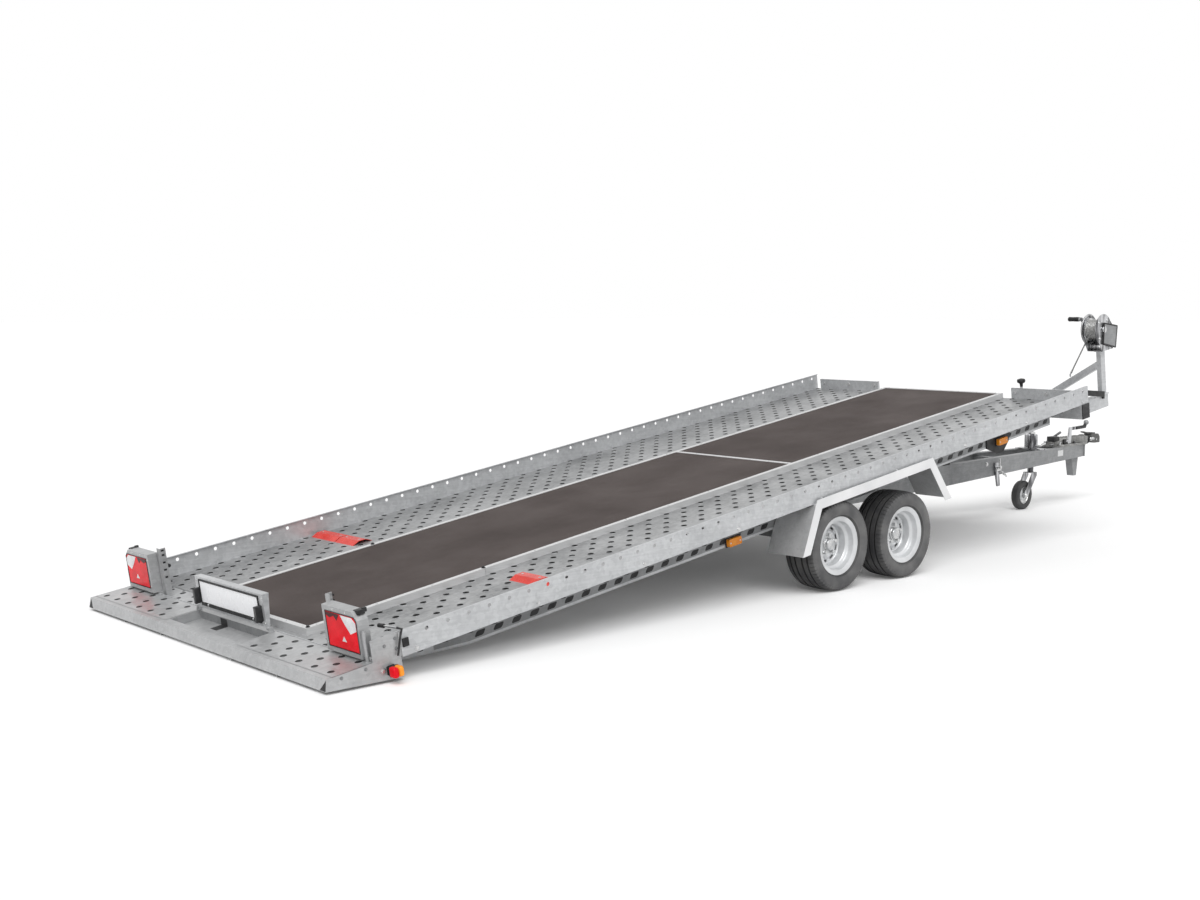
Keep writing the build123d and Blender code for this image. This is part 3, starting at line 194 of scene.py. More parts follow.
def galvanised(dark, light, rough, spangle=60.0):
    """Zinc on steel: crystal patches a few millimetres wide, cloudy weathering, fine rolling marks."""

    def recipe(place):
        patch = place.node("ShaderNodeSeparateColor", {0: place.cells(spangle, 1)})
        cloud = place.noise(3.5, 5.0, 0.6)
        marks = place.stretched(2.0, 45.0, 45.0).noise(3.0, 3.0)
        tone = patch * 0.3 + cloud.spread() * 0.45 + marks.spread() * 0.25
        return {
            "Base Color": tone.blend(dark, light),
            "Roughness": cloud.spread(rough + 0.08, rough - 0.06) + patch * 0.06,
            "Normal": (patch * 0.3 + place.noise(900.0, 2.0) * 0.4 + cloud * 0.6).bump(0.25, 0.0006),
        }

    return recipe


def coat(material, *nodes):
    """Gives CAD nodes their finish."""
    for name in nodes:
        mesh = frame["nodes"][name].data
        mesh.materials.clear()
        mesh.materials.append(material)


def skin(shape, rings, ends=True):
    """Faces between rings of points taken in turn, with the first and last ring closed off."""
    made = [[shape.verts.new(point) for point in ring] for ring in rings]
    for near, far in zip(made, made[1:]):
        for i in range(len(near)):
            j = (i + 1) % len(near)
            shape.faces.new((near[i], near[j], far[j], far[i]))
    if ends:
        shape.faces.new(made[0][::-1])
        shape.faces.new(made[-1])
    return shape


def settled(name, shape):
    """The shape as an object, its faces turned outwards."""
    bmesh.ops.recalc_face_normals(shape, faces=shape.faces)
    mesh = bpy.data.meshes.new(name)
    shape.to_mesh(mesh)
    shape.free()
    return add(name, mesh)


def shade(mesh, material, smooth=30):
    mesh.materials.append(material)
    mesh.shade_smooth()
    mesh.set_sharp_from_angle(angle=radians(smooth))


def ride(made, *stands_for, body="bed", slot=None):
    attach(made, body)
    if stands_for:
        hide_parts(*stands_for)


def piece(name, shape, material, *stands_for, place=on_bed, **seat):
    """A mesh object in place, riding on its body."""
    bmesh.ops.transform(shape, matrix=place, verts=shape.verts)
    bmesh.ops.remove_doubles(shape, verts=shape.verts, dist=1e-6)
    made = settled(name, shape)
    shade(made.data, material)
    ride(made, *stands_for, **seat)


def tree_of(name, inputs):
    """A geometry tree with these inputs and one output, and a wire from each input."""
    tree = bpy.data.node_groups.new(name, "GeometryNodeTree")
    for socket, kind in inputs.items():
        tree.interface.new_socket(socket, in_out="INPUT", socket_type=f"NodeSocket{kind}")
    tree.interface.new_socket("Result", in_out="OUTPUT", socket_type="NodeSocketGeometry")
    given = tree.nodes.new("NodeGroupInput")
    return tree, Wire(tree), [Wire(tree, given.outputs[i]) for i in range(len(inputs))]


def repeat_tree():
    """Copies of the piece's own mesh, each moved one step and turned one turn on from the last."""
    kinds = {"Unit": "Geometry", "Count": "Int", "Step": "Vector", "Turn": "Vector", "Join": "Float"}
    tree, row, (unit, count, step, turn, join, material) = tree_of("repeat", {**kinds, "Finish": "Material"})
    index = row.node("GeometryNodeInputIndex")
    place, angle = (
        row.node("ShaderNodeVectorMath", {0: by, "Scale": index}, operation="SCALE") for by in (step, turn)
    )
    points = row.node("GeometryNodePoints", {"Count": count, "Position": place})
    copies = row.node("GeometryNodeInstanceOnPoints", {"Points": points, "Instance": unit, "Rotation": angle})
    plain = row.node("GeometryNodeRealizeInstances", {"Geometry": copies})
    joined = row.node("GeometryNodeMergeByDistance", {"Geometry": plain, "Distance": join})
    coated = row.node("GeometryNodeSetMaterial", {"Geometry": joined, "Material": material})
    row.node("NodeGroupOutput", {0: coated})
    return tree


def grown(name, shape, tree, inputs, place, material, smooth=30):
    """Runs a geometry tree on a shape and returns the result as one plain mesh object, in place."""
    seed = settled(name, shape)
    modifier = seed.modifiers.new("grow", "NODES")
    modifier.node_group = tree
    sockets = {item.name: item.identifier for item in tree.interface.items_tree if item.in_out == "INPUT"}
    for socket, value in {**inputs, "Finish": material}.items():
        modifier[sockets[socket]] = value
    seed.update_tag()
    bpy.context.view_layer.update()
    result = bpy.data.meshes.new_from_object(seed.evaluated_get(bpy.context.evaluated_depsgraph_get()))
    seed.modifiers.clear()
    seed.data = result
    result.materials.clear()
    result.polygons.foreach_set("material_index", [0] * len(result.polygons))
    result.transform(place)
    shade(result, material, smooth)
    if place.determinant() < 0:
        result.flip_normals()
    return seed


repeat = repeat_tree()


def row_of(name, shape, count, place, material, step=(0, 0, 0), turn=(0, 0, 0), join=0.01, smooth=30):
    """A row or ring of copies of one shape, merged where they meet."""
    inputs = {"Count": count, "Step": step, "Turn": turn, "Join": join}
    return grown(name, shape, repeat, inputs, place, material, smooth)


def punched_unit(columns, length, low, high, hole, rise, thickness, collar=0.0):
    """Sheet with punched holes in columns one after another along u, a rim above each and a collar below."""
    shape = bmesh.new()
    steps = [radians(15 + 30 * k) for k in range(12)]
    rim_foot, rim_edge, collar_foot, collar_edge = 4.5, 1.4, 1.3, 1.2
    below = -thickness - collar
    section = [(hole + rim_foot, 0), (hole + rim_edge, rise), (hole, rise), (hole, below)]
    section += [(hole + collar_edge, below - 0.01), (hole + collar_foot, -thickness)]
    for number, centres in enumerate(columns):
        middle = (number + 0.5) * length
        edges = [low] + [(a + b) / 2 for a, b in zip(centres, centres[1:])] + [high]
        for centre, near, far in zip(centres, edges, edges[1:]):
            outer = []
            for angle in steps:
                x, y = cos(angle), sin(angle)
                size = max(abs(x), abs(y))
                reach = far - centre if y > 0 else centre - near
                outer.append((middle + x / size * length / 2, centre + y / size * reach))
            circles = [[(middle + r * cos(a), centre + r * sin(a), z) for a in steps] for r, z in section]
            rings = [[(x, y, 0) for x, y in outer], *circles, [(x, y, -thickness) for x, y in outer]]
            skin(shape, rings, ends=False)
    return shape


punched = galvanised((0.15, 0.154, 0.158), (0.5, 0.505, 0.51), 0.34)
punched_finish = finish("punched_steel", punched, "punched_steel", Metallic=0.6)
# near-black painted shade for the walls of the punched holes
hole_wall_shade = finish("painted_hole_shade", galvanised((0.012, 0.012, 0.012), (0.05, 0.05, 0.05), 0.6), Metallic=0.2)


def shade_hole_walls(made):
    """Faces punched square through the sheet, the walls of the holes, take a near-black painted shade."""
    made.data.materials.append(hole_wall_shade)
    square = (on_bed.to_3x3() @ Vector((0, 0, 1))).normalized()
    for face in made.data.polygons:
        face.material_index = int(abs(face.normal.dot(square)) < 0.35)


hole_radius, hole_pitch, rim_rise, hole_collar = 15.0, 123.0, 2.2, 8.0
column_pairs, row_holes, first_holes = 41, 5, (19.5, 81)
for side, s in (("left", 1), ("right", -1)):
    low, high = span(f"lane_{side}")
    inner, outer = sorted((abs(low.y), abs(high.y)))
    half = (high.x - low.x) / column_pairs / 2
    rows = [[inner + first + hole_pitch * i for i in range(row_holes)] for first in first_holes]
    unit = punched_unit(rows, half, inner, outer, hole_radius, rim_rise, high.z - low.z, hole_collar)
    lane_place = on_bed @ Matrix.Translation((low.x, 0, high.z)) @ Matrix.Diagonal((1, s, 1, 1))
    lane = row_of(
        f"punched_lane_{side}", unit, column_pairs, lane_place, punched_finish, step=(2 * half, 0, 0)
    )
    shade_hole_walls(lane)
    ride(lane, f"lane_{side}")

# ---------------- side rails and bed frame
# Rails, beams, cross-members and brackets are folded or welded steel, hot-dip galvanised.  The rails and
# beams are still bright; the frame under the bed has dulled with weathering to a darker grey, and the same
# darker grey is painted shade on the beam webs and the flap pocket's walls.
new_zinc = galvanised((0.38, 0.388, 0.398), (0.64, 0.65, 0.66), 0.4)
zinc = finish("galvanised_steel", new_zinc, "galvanised_steel", Metallic=0.45)
weathered_and_shaded = galvanised((0.18, 0.185, 0.19), (0.34, 0.345, 0.35), 0.5, 35.0)
grey_zinc = finish("dark_galvanised_steel", weathered_and_shaded, "zinc_plate", Metallic=0.45)
coat(zinc, "rail_left", "rail_right", "head_plates")
coat(zinc, "side_beam_left", "side_beam_right", "front_tube", "plate_holder")
coat(grey_zinc, "bed_crossmembers", "pivot_hangers", "pivot_brackets", "panel_bearers")
coat(grey_zinc, "drawbar_left", "drawbar_right", "chassis_crossmembers", "axle_front", "axle_rear")


def mottled(dark, light, sheen, cloud, fine, bump, low=0.3, high=0.7, stretch=(1, 1, 1)):
    """Cloudy colour and sheen over a fine grain: cloud and fine are a noise's scale and detail."""

    def recipe(place):
        tone = (place if stretch == (1, 1, 1) else place.stretched(*stretch)).noise(*cloud)
        return {
            "Base Color": tone.spread(0.0, 1.0, low, high).blend(dark, light),
            "Roughness": tone.spread(*sheen),
            "Normal": place.noise(*fine).bump(*bump),
        }

    return recipe


# zinc plating with a faint cloudy bloom
bloom = mottled((0.48, 0.49, 0.5), (0.74, 0.74, 0.73), (0.34, 0.2), (25.0, 4.0), (700.0, 2.0), (0.15, 0.0003))
bright_zinc = finish("bright_zinc", bloom, "zinc_plate", Metallic=0.85)


def fasten_tree():
    """A washer and a head with a given number of sides on every point, square to its facing."""
    kinds = {"Places": "Geometry", "Sides": "Int", "Head": "Float", "Height": "Float", "Washer": "Float"}
    kinds.update({"Sheet": "Float", "Finish": "Material"})
    tree, work, (places, sides, head, height, washer, thickness, material) = tree_of("fasten", kinds)
    facing = work.node("GeometryNodeInputNamedAttribute", {"Name": "facing"}, data_type="FLOAT_VECTOR")
    turned = work.node("FunctionNodeAlignRotationToVector", {"Vector": facing}, axis="Z")
    both = work.node("GeometryNodeJoinGeometry")
    for radius, tall, foot, corners in ((washer, thickness, 0.0, 12), (head, height, thickness, sides)):
        disc = work.node("GeometryNodeMeshCylinder", {"Vertices": corners, "Radius": radius, "Depth": tall})
        lift = work.node("ShaderNodeCombineXYZ", {"Z": tall * 0.5 + foot})
        lifted = work.node("GeometryNodeTransform", {"Geometry": disc, "Translation": lift})
        tree.links.new(lifted.socket, both.socket.node.inputs[0])
    sockets = {"Points": places, "Instance": both, "Rotation": turned}
    copies = work.node("GeometryNodeInstanceOnPoints", sockets)
    plain = work.node("GeometryNodeRealizeInstances", {"Geometry": copies})
    coated = work.node("GeometryNodeSetMaterial", {"Geometry": plain, "Material": material})
    work.node("NodeGroupOutput", {0: coated})
    return tree


fasten_bolts = fasten_tree()


def fasten(name, places, size=6.5, sides=6, tall=5.0, washer=9.5, sheet=1.5,
           material=bright_zinc, place=on_bed, **seat):
    """Bolts at (point, facing) pairs, made as one piece."""
    shape = bmesh.new()
    layer = shape.verts.layers.float_vector.new("facing")
    for point, facing in places:
        shape.verts.new(point)[layer] = facing
    sizes = {"Sides": sides, "Head": size, "Height": tall, "Washer": washer, "Sheet": sheet}
    ride(grown(name, shape, fasten_bolts, sizes, place, material), **seat)


out = {1: (0, 1, 0), -1: (0, -1, 0)}


def pairs(points, facing=None):
    """Places on both sides of the middle, which face outwards or one given way."""
    return [((u, s * v, w), facing or out[s]) for u, v, w in points for s in (1, -1)]


up, aft, ahead = (0, 0, 1), (-1, 0, 0), (1, 0, 0)
rail_low, rail_high = span("rail_left")
beam_low, beam_high = span("side_beam_left")
lane_top, rail_rear = span("lane_left")[1].z, rail_low.x


def spaced(start, end, count):
    return [start + i * (end - start) / (count - 1) for i in range(count)]


bolts = [(u, rail_high.y, lane_top + 14) for u in spaced(rail_rear + 70, rail_high.x - 70, 9)]
bolts += [(u, beam_high.y - 4, rail_low.z - 12) for u in spaced(beam_low.x + 60, beam_high.x - 60, 12)]
fasten("rail_bolts", pairs(bolts))

# ---------------- plywood floor and its trims
# The raised middle is phenolic-faced birch plywood in two panels, brown-black and slightly satin,
# pressed with a fine wire mesh for grip.  Aluminium angles screwed down at its edges cover the cut.


def plywood_recipe(place):
    cloud = place.noise(2.2, 6.0, 0.55)
    speck = place.noise(260.0, 2.0)
    mesh = place.node("ShaderNodeTexBrick", {"Vector": place, "Scale": 320.0, "Mortar Size": 0.06}, 1)
    scuff = place.stretched(1.5, 30.0, 30.0).noise(2.0, 4.0)
    tone = cloud.spread() * 0.6 + speck.spread() * 0.25 + scuff.spread(low=0.55, high=0.75) * 0.3
    return {
        "Base Color": tone.blend((0.042, 0.032, 0.0295), (0.076, 0.058, 0.0535)),
        "Roughness": cloud.spread(0.62, 0.5),
        "Normal": (mesh * 0.5 + speck * 0.5).bump(0.3, 0.0004),
    }


def aluminium_recipe(place):
    line = place.stretched(1.2, 140.0, 140.0).noise(4.0, 4.0)
    tone = line.spread() * 0.6 + place.noise(5.0, 3.0) * 0.4
    return {
        "Base Color": tone.blend((0.52, 0.525, 0.53), (0.74, 0.74, 0.74)),
        "Roughness": line.spread(0.42, 0.3),
        "Normal": line.bump(0.12, 0.0004),
    }


aluminium = finish("aluminium_trim", aluminium_recipe, "aluminium_trim", Metallic=0.35)
coat(finish("plywood", plywood_recipe, Specular_IOR_Level=0.1), "deck_panels")
coat(aluminium, "deck_trims")
panel_low, panel_high = span("deck_panels")
trim_high = span("deck_trims")[1]
trim_line = trim_high.y - 14
panel_joint = 80
screws = pairs([(u, trim_line, trim_high.z) for u in spaced(panel_low.x + 60, panel_high.x - 60, 18)], up)
for u in (panel_low.x + 12, panel_joint, panel_high.x - 12):
    screws += [((u, v, trim_high.z), up) for v in range(-420, 421, 140)]
fasten("trim_screws", screws, 4.5, 12, 0.9, 6.0, 0.4)

# ---------------- road wheels
# Radial trailer tyres, moulded black rubber with four tread grooves and cut shoulders, on welded
# steel rims: a rolled deep rim, a pressed disc with vent slots, all lacquered silver, five nuts.
tyre_middle = sum(corner.y for corner in span("tyre_front_left", Matrix())) / 2


def rubber_recipe(place):
    dust = place.noise(9.0, 5.0)
    sideways = place.node("ShaderNodeSeparateXYZ", {0: place}, 1)
    across = abs(abs(sideways) - tyre_middle)
    # the grooves' floors are painted near-black as painted shade in the grooves
    groove = (across > 0.017) * (across < 0.027) + (across > 0.051) * (across < 0.0605)
    wall = (across > 0.089) * (across < 0.11)
    tread = dust.spread(low=0.35).blend((0.038, 0.038, 0.04), (0.085, 0.084, 0.083))
    scuffed = dust.spread(low=0.35).blend((0.075, 0.075, 0.077), (0.14, 0.139, 0.138))
    return {
        "Base Color": groove.blend(wall.blend(tread, scuffed), (0.01, 0.01, 0.01)),
        "Roughness": dust.spread(0.62, 0.5),
        "Normal": place.noise(600.0, 2.0).bump(0.25, 0.0005),
    }


rubber = finish("tyre_rubber", rubber_recipe, "tyre", Specular_IOR_Level=0.35)
paint = mottled((0.56, 0.57, 0.58), (0.7, 0.71, 0.72), (0.4, 0.3), (12.0, 4.0), (220.0, 2.0), (0.08, 0.0003))
lacquer = finish("rim_paint", paint, "rim_paint", Metallic=0.35, Coat_Weight=0.3)
iron = mottled((0.19, 0.19, 0.185), (0.36, 0.36, 0.35), (0.6, 0.45), (14.0, 4.0), (300.0, 3.0), (0.4, 0.0008))
cast_iron = finish("cast_housing", iron, "cast_housing", Metallic=0.5)

# sections are (y, radius) points in millimetres, y outwards from the wheel's middle
tyre_pitches, sipe, sipe_depth = 64, 0.13, 4.5
half_tread = [(0, 234), (16, 233.8), (17.5, 226.5), (26.5, 226.3), (28, 233.5), (50, 232.3), (51.5, 225.2)]
half_tread += [(60, 225), (61.5, 231.5), (78, 229.4), (86.5, 225.4), (92, 218)]
half_wall = [(95.3, 209), (96.6, 206), (96.1, 205), (97.8, 197), (98, 190), (96.6, 180), (93, 169.5)]
half_wall += [(90.5, 165.5), (90.6, 162.5), (86.5, 157.5), (82, 154.8), (79, 153.5), (75, 150), (74, 146)]
half_wall += [(74, 131), (62, 130.5), (61, 150), (86, 172), (88, 193), (80, 210), (60, 217), (0, 220)]
shoulder = range(9, 12)


def tyre_ring(cut):
    """The tyre's section, its shoulder lowered where the sipe is cut."""
    right = [(y, r - (sipe_depth if cut and i in shoulder else 0)) for i, (y, r) in enumerate(half_tread)]
    right += half_wall
    return right + [(-y, r) for y, r in reversed(right[1:-1])]


def swept(rings, angles):
    """Rings of (y, radius) section points, each turned about the wheel's axle."""
    return [[(r * sin(a), y, r * cos(a)) for y, r in ring] for ring, a in zip(rings, angles)]


def lathe(shape, loop, steps=72):
    """A closed section turned about the wheel's axle."""
    angles = [2 * pi * i / steps for i in range(steps + 1)]
    return skin(shape, swept([loop] * (steps + 1), angles), ends=False)


barrel = [(80, 148.5), (77.8, 143.5), (76, 133), (72.5, 127.2), (66, 125), (49, 124.3), (42.5, 120.5)]
barrel += [(37, 110.5), (33, 107.2), (24, 106), (-24, 106), (-33, 107.2), (-42, 124), (-66, 125)]
barrel += [(-76, 133), (-80, 148.5), (-80, 151.6), (-77, 152), (-74, 149), (-73, 130), (-45, 128.6)]
barrel += [(-36, 110.5), (36, 110.5), (39, 113.5), (46, 128), (70, 129), (74.4, 134), (74.4, 148)]
barrel += [(76, 151.6), (78.6, 152), (80, 151)]
# the disc's face from its edge to the hub; a slot lies between two of its rings and five of its stations
disc_face = [(-6, 106.5), (-9.5, 104), (-11.5, 101), (-12, 97), (-11.5, 84), (-9, 79), (-1, 73), (3, 68)]
disc_face += [(4, 63), (4, 34), (4, 28)]
disc_sheet, slot_ring, slot_start, slot_end, sector_count = 5.0, 3, 2, 6, 10
stations = [radians(4.5 * k) for k in range(-4, 5)]


def disc_sector():
    """One tenth of the wheel disc: front and back sheet with a slot pierced through."""
    shape = bmesh.new()
    front, back = (
        [[shape.verts.new(p) for p in ring] for ring in swept([face] * len(stations), stations)]
        for face in (disc_face, [(y - disc_sheet, r) for y, r in disc_face])
    )
    slot = range(slot_start, slot_end)
    for i in range(len(stations) - 1):
        for k in range(len(disc_face) - 1):
            if k != slot_ring or i not in slot:
                for s in (front, back):
                    shape.faces.new((s[i][k], s[i + 1][k], s[i + 1][k + 1], s[i][k + 1]))
        cut = (0, len(disc_face) - 1) + ((slot_ring, slot_ring + 1) if i in slot else ())
        for k in cut:
            shape.faces.new((front[i][k], front[i + 1][k], back[i + 1][k], back[i][k]))
    for i in (slot_start, slot_end):
        k = slot_ring
        shape.faces.new((front[i][k], front[i][k + 1], back[i][k + 1], back[i][k]))
    return shape


drum_loop = [(-77, 30), (-77, 101), (-74, 102), (-70, 98), (-34, 98), (-30, 102), (-27, 100), (-26, 60)]
drum_loop += [(-18, 45), (-17, 20), (-24, 20), (-26, 30)]
# the hub cap's section closes at the axle
hub_loop = [(0, 0.01), (0, 33), (12, 33), (14, 31), (26, 31), (30, 28.5), (32, 22), (32.5, 10), (32.5, 0.01)]
nut_circle, nut_seat = 49.0, 4.0
for axle in ("front", "rear"):
    for side, s in (("left", 1), ("right", -1)):
        wheel = f"{axle}_{side}"
        body = f"wheel_{wheel}"
        tyre_low, tyre_high = span(f"tyre_{wheel}", millimetres)
        hub = millimetres @ Matrix.Translation((tyre_low + tyre_high) / 2) @ Matrix.Diagonal((1, s, 1, 1))
        shape = bmesh.new()
        pitch = 2 * pi / tyre_pitches
        cuts = [share * pitch for share in (0, 0.001, sipe - 0.001, sipe, 0.56, 1)]
        skin(shape, swept([tyre_ring(j in (1, 2)) for j in range(len(cuts))], cuts), ends=False)
        tyre = row_of(
            f"tread_{wheel}", shape, tyre_pitches, hub, rubber, turn=(0, pitch, 0), join=0.02, smooth=28
        )
        sector = (0, 2 * pi / sector_count, 0)
        disc = row_of(f"disc_{wheel}", disc_sector(), sector_count, hub, lacquer, turn=sector, join=0.02)
        ride(tyre, f"tyre_{wheel}", body=body)
        ride(disc, body=body)
        at_hub = {"body": body, "place": hub}
        piece(f"rim_{wheel}_barrel", lathe(bmesh.new(), barrel), lacquer, f"rim_{wheel}", **at_hub)
        piece(f"drum_{wheel}", lathe(bmesh.new(), drum_loop, 48), cast_iron, **at_hub)
        piece(f"hub_{wheel}", lathe(bmesh.new(), hub_loop, 32), bright_zinc, **at_hub)
        turns = [2 * pi * i / 5 for i in range(5)]
        nuts = [((nut_circle * sin(a), nut_seat, nut_circle * cos(a)), out[1]) for a in turns]
        fasten(f"nuts_{wheel}", nuts, 9.5, 6, 15.0, 12.0, 3.0, **at_hub)

# ---------------- rear flap
# The drive-on flap is folded from one sheet and punched like the lanes, with a pocket pressed in
# its middle where the plate holder folds away.  Its nose fold is open at both ends.


def prism(shape, outline, start, end, to):
    """A flat outline pushed from start to end; to(a, b, t) says which way the three run."""
    return skin(shape, [[to(a, b, t) for a, b in outline] for t in (start, end)])


def from_side(a, b, t):
    return (a, t, b)


def from_rear(a, b, t):
    return (t, a, b)


def blocks(shape, *sizes, sides=(1,)):
    """Boxes from u0 to u1, v0 to v1 and w0 to w1, on the given sides of the middle."""
    for s in sides:
        for u0, u1, v0, v1, w0, w1 in sizes:
            corners = ((u0, s * v0), (u1, s * v0), (u1, s * v1), (u0, s * v1))
            skin(shape, [[(*corner, w) for corner in corners] for w in (w0, w1)])
    return shape


def soften(shape, width=0.8):
    """Rounds every edge of the shape a little, as a bent or cast edge is."""
    bmesh.ops.recalc_face_normals(shape, faces=shape.faces)
    edges = [e for e in shape.edges if len(e.link_faces) == 2 and e.calc_face_angle(0) > 0.5]
    bmesh.ops.bevel(shape, geom=edges, offset=width, segments=2, affect="EDGES", profile=0.5)
    return shape


# moulded black plastic, slightly dusty; the same near-black also stands as painted shade in holes, slots and
# openings
dull_black = mottled(
    (0.012, 0.012, 0.013), (0.035, 0.035, 0.036), (0.55, 0.42),
    (30.0, 5.0), (500.0, 2.0), (0.2, 0.0003), 0.35, 0.75,
)
black_plastic = finish("black_plastic", dull_black, "black_plastic", Specular_IOR_Level=0.3)
flap_steel = galvanised((0.33, 0.335, 0.34), (0.53, 0.535, 0.54), 0.38)
flap_zinc = finish("flap_zinc", flap_steel, "punched_steel", Metallic=0.5)
coat(flap_zinc, "rear_flap")
flap_low, flap_high = span("rear_flap")
flap_front = flap_high.x
flap_top, flap_step, crease = lane_top + 15, flap_front - 118, flap_front - 335
pocket_half, pocket_front, pocket_rear = 318, flap_low.x + 203, flap_low.x + 59
pocket_floor = flap_top - 38
flap_sheet, flap_side, flap_hole, flap_pitch, stagger = 1.2, 1061, 414, 117, 58.5
flap_parts = (("top", crease + 24, 62, 3, flap_top, 325), ("step", flap_step + 2, 56, 2, lane_top, 470))
for side, s in (("left", 1), ("right", -1)):
    for part, start, length, count, top, near in flap_parts:
        rows = []
        for k in range(count):
            row = [flap_hole + stagger * (k % 2) + flap_pitch * i for i in range(6 - k % 2)]
            rows.append([v for v in row if v > near + 14])
        unit = punched_unit(rows, length, near, 1056, hole_radius, 0.7, flap_sheet)
        laid_on = Matrix.Translation((start, 0, top + flap_sheet))
        plate_place = on_bed @ laid_on @ Matrix.Diagonal((1, s, 1, 1))
        plate = row_of(f"flap_{part}_{side}", unit, 1, plate_place, flap_zinc)
        shade_hole_walls(plate)
        ride(plate)
        dark = [((start + (k + 0.5) * length, s * v, top), up) for k, row in enumerate(rows) for v in row]
        shadow = f"flap_{part}_shadow_{side}"
        fasten(shadow, dark, 3, 6, 0.1, hole_radius + 0.2, 0.3, material=black_plastic)

walls, nose = bmesh.new(), bmesh.new()
for s in (1, -1):
    wall = [(0.6, flap_top - 0.2), (12.6, pocket_floor + 0.4), (14, pocket_floor + 0.4), (2, flap_top - 0.2)]
    outline = [(s * (pocket_half - inset), w) for inset, w in wall]
    prism(walls, outline, pocket_rear + 1, pocket_front - 1, from_rear)
    mouth_corners = ((0.1, 1052), (0.96, 1059), (0.96, 1018))
    mouth = [(crease - 15 * t, s * v, flap_top - 46 * t) for t, v in mouth_corners]
    skin(nose, [[(u - lift, v, w) for u, v, w in mouth] for lift in (-0.4, 0.3)])
wide = pocket_half - 12
blocks(walls, (pocket_front - 2, pocket_front - 0.5, -wide, wide, pocket_floor, flap_top - 1))
# the walls take the darker grey as painted shade in the recess
piece("pocket_walls", walls, grey_zinc, slot="dark_galvanised_steel")
wide = pocket_half - 15
sheet = (pocket_rear + 1, pocket_front - 1, -wide, wide, pocket_floor, pocket_floor + 1)
piece("pocket_floor", blocks(bmesh.new(), sheet), flap_zinc, slot="dark_galvanised_steel")
# black sheets in the pocket's opening are painted shade
opening = (
    (pocket_front - 58, pocket_front - 3, 60, 116, pocket_floor + 0.8, pocket_floor + 1.6),
    (pocket_front - 3, pocket_front - 2.2, 60, 116, pocket_floor, flap_top - 4),
)
piece("pocket_slot_shade", blocks(bmesh.new(), *opening), black_plastic)
# a black sheet in each open end of the nose fold is painted shade
piece("nose_opening_shade", nose, black_plastic)
folds = (
    # the lip that joins the flap's side to the rail's end, and a stiffening bar along the step
    (flap_front - 126, flap_front - 4, 1056.5, 1054, lane_top + 62, lane_top + 101),
    (flap_step - 3, flap_step + 1.5, 324, 1056, lane_top, flap_top + 2.2),
)
piece("flap_folds", blocks(bmesh.new(), *folds, sides=(1, -1)), zinc)
bolts = [(flap_front - 18, 50), (flap_front - 18, 10), (flap_front - 70, 34)]
bolts += [(crease + run, flap_top - 14) for run in (60, 170)]
bolts = pairs([(u, flap_side, w) for u, w in bolts])
bolts += pairs([(flap_front - 12, v, lane_top + flap_sheet) for v in range(500, 981, 120)], up)
fasten("flap_bolts", bolts, 5, 6, 3.5, 7.5, 1, material=grey_zinc)

# ---------------- rear lamps
# Combination lamps of ribbed red acrylic with a clear reversing window and a triangle reflector,
# set back in folded steel housings.  Each housing swings outwards on a pin and clips to its post.


def lens(name, slot, dark, light, ribs, shine):
    """Clear coloured acrylic over a ribbed reflector."""

    def recipe(place):
        wave = place.node("ShaderNodeTexWave", {"Vector": place, "Scale": ribs}, 1, bands_direction="Y")
        facets = place.cells(160.0)
        glow = place.noise(14.0, 2.0)
        return {
            "Base Color": (wave * 0.25 + facets * 0.3 + glow.spread() * 0.5).blend(dark, light),
            "Roughness": glow.spread(0.12, 0.2),
            "Normal": (wave * 0.6 + facets * 0.4).bump(0.35, 0.0008),
        }

    return finish(name, recipe, slot, Specular_IOR_Level=shine)


red_lens = lens("red_lens", "red_lens", (0.55, 0.002, 0.008), (0.98, 0.008, 0.022), 60.0, 0.15)
deep_red = lens("deep_red", "red_lens", (0.02, 0.006, 0.007), (0.1, 0.012, 0.014), 60.0, 0.15)
amber_lens = lens("amber_lens", "amber_lens", (0.8, 0.2, 0.008), (1.0, 0.42, 0.03), 70.0, 0.35)
clear_lens = lens("clear_lens", "white_plate", (0.5, 0.5, 0.52), (0.95, 0.95, 0.96), 90.0, 0.5)
lamp_steel = galvanised((0.3, 0.305, 0.31), (0.5, 0.505, 0.51), 0.38)
lamp_zinc = finish("lamp_zinc", lamp_steel, "galvanised_steel", Metallic=0.5)
coat(lamp_zinc, "lamp_housing_left", "lamp_housing_right", "lamp_posts")
lens_extra, lens_proud, corner_cut, seal_edge = 15, 1.2, 14.0, 5.5
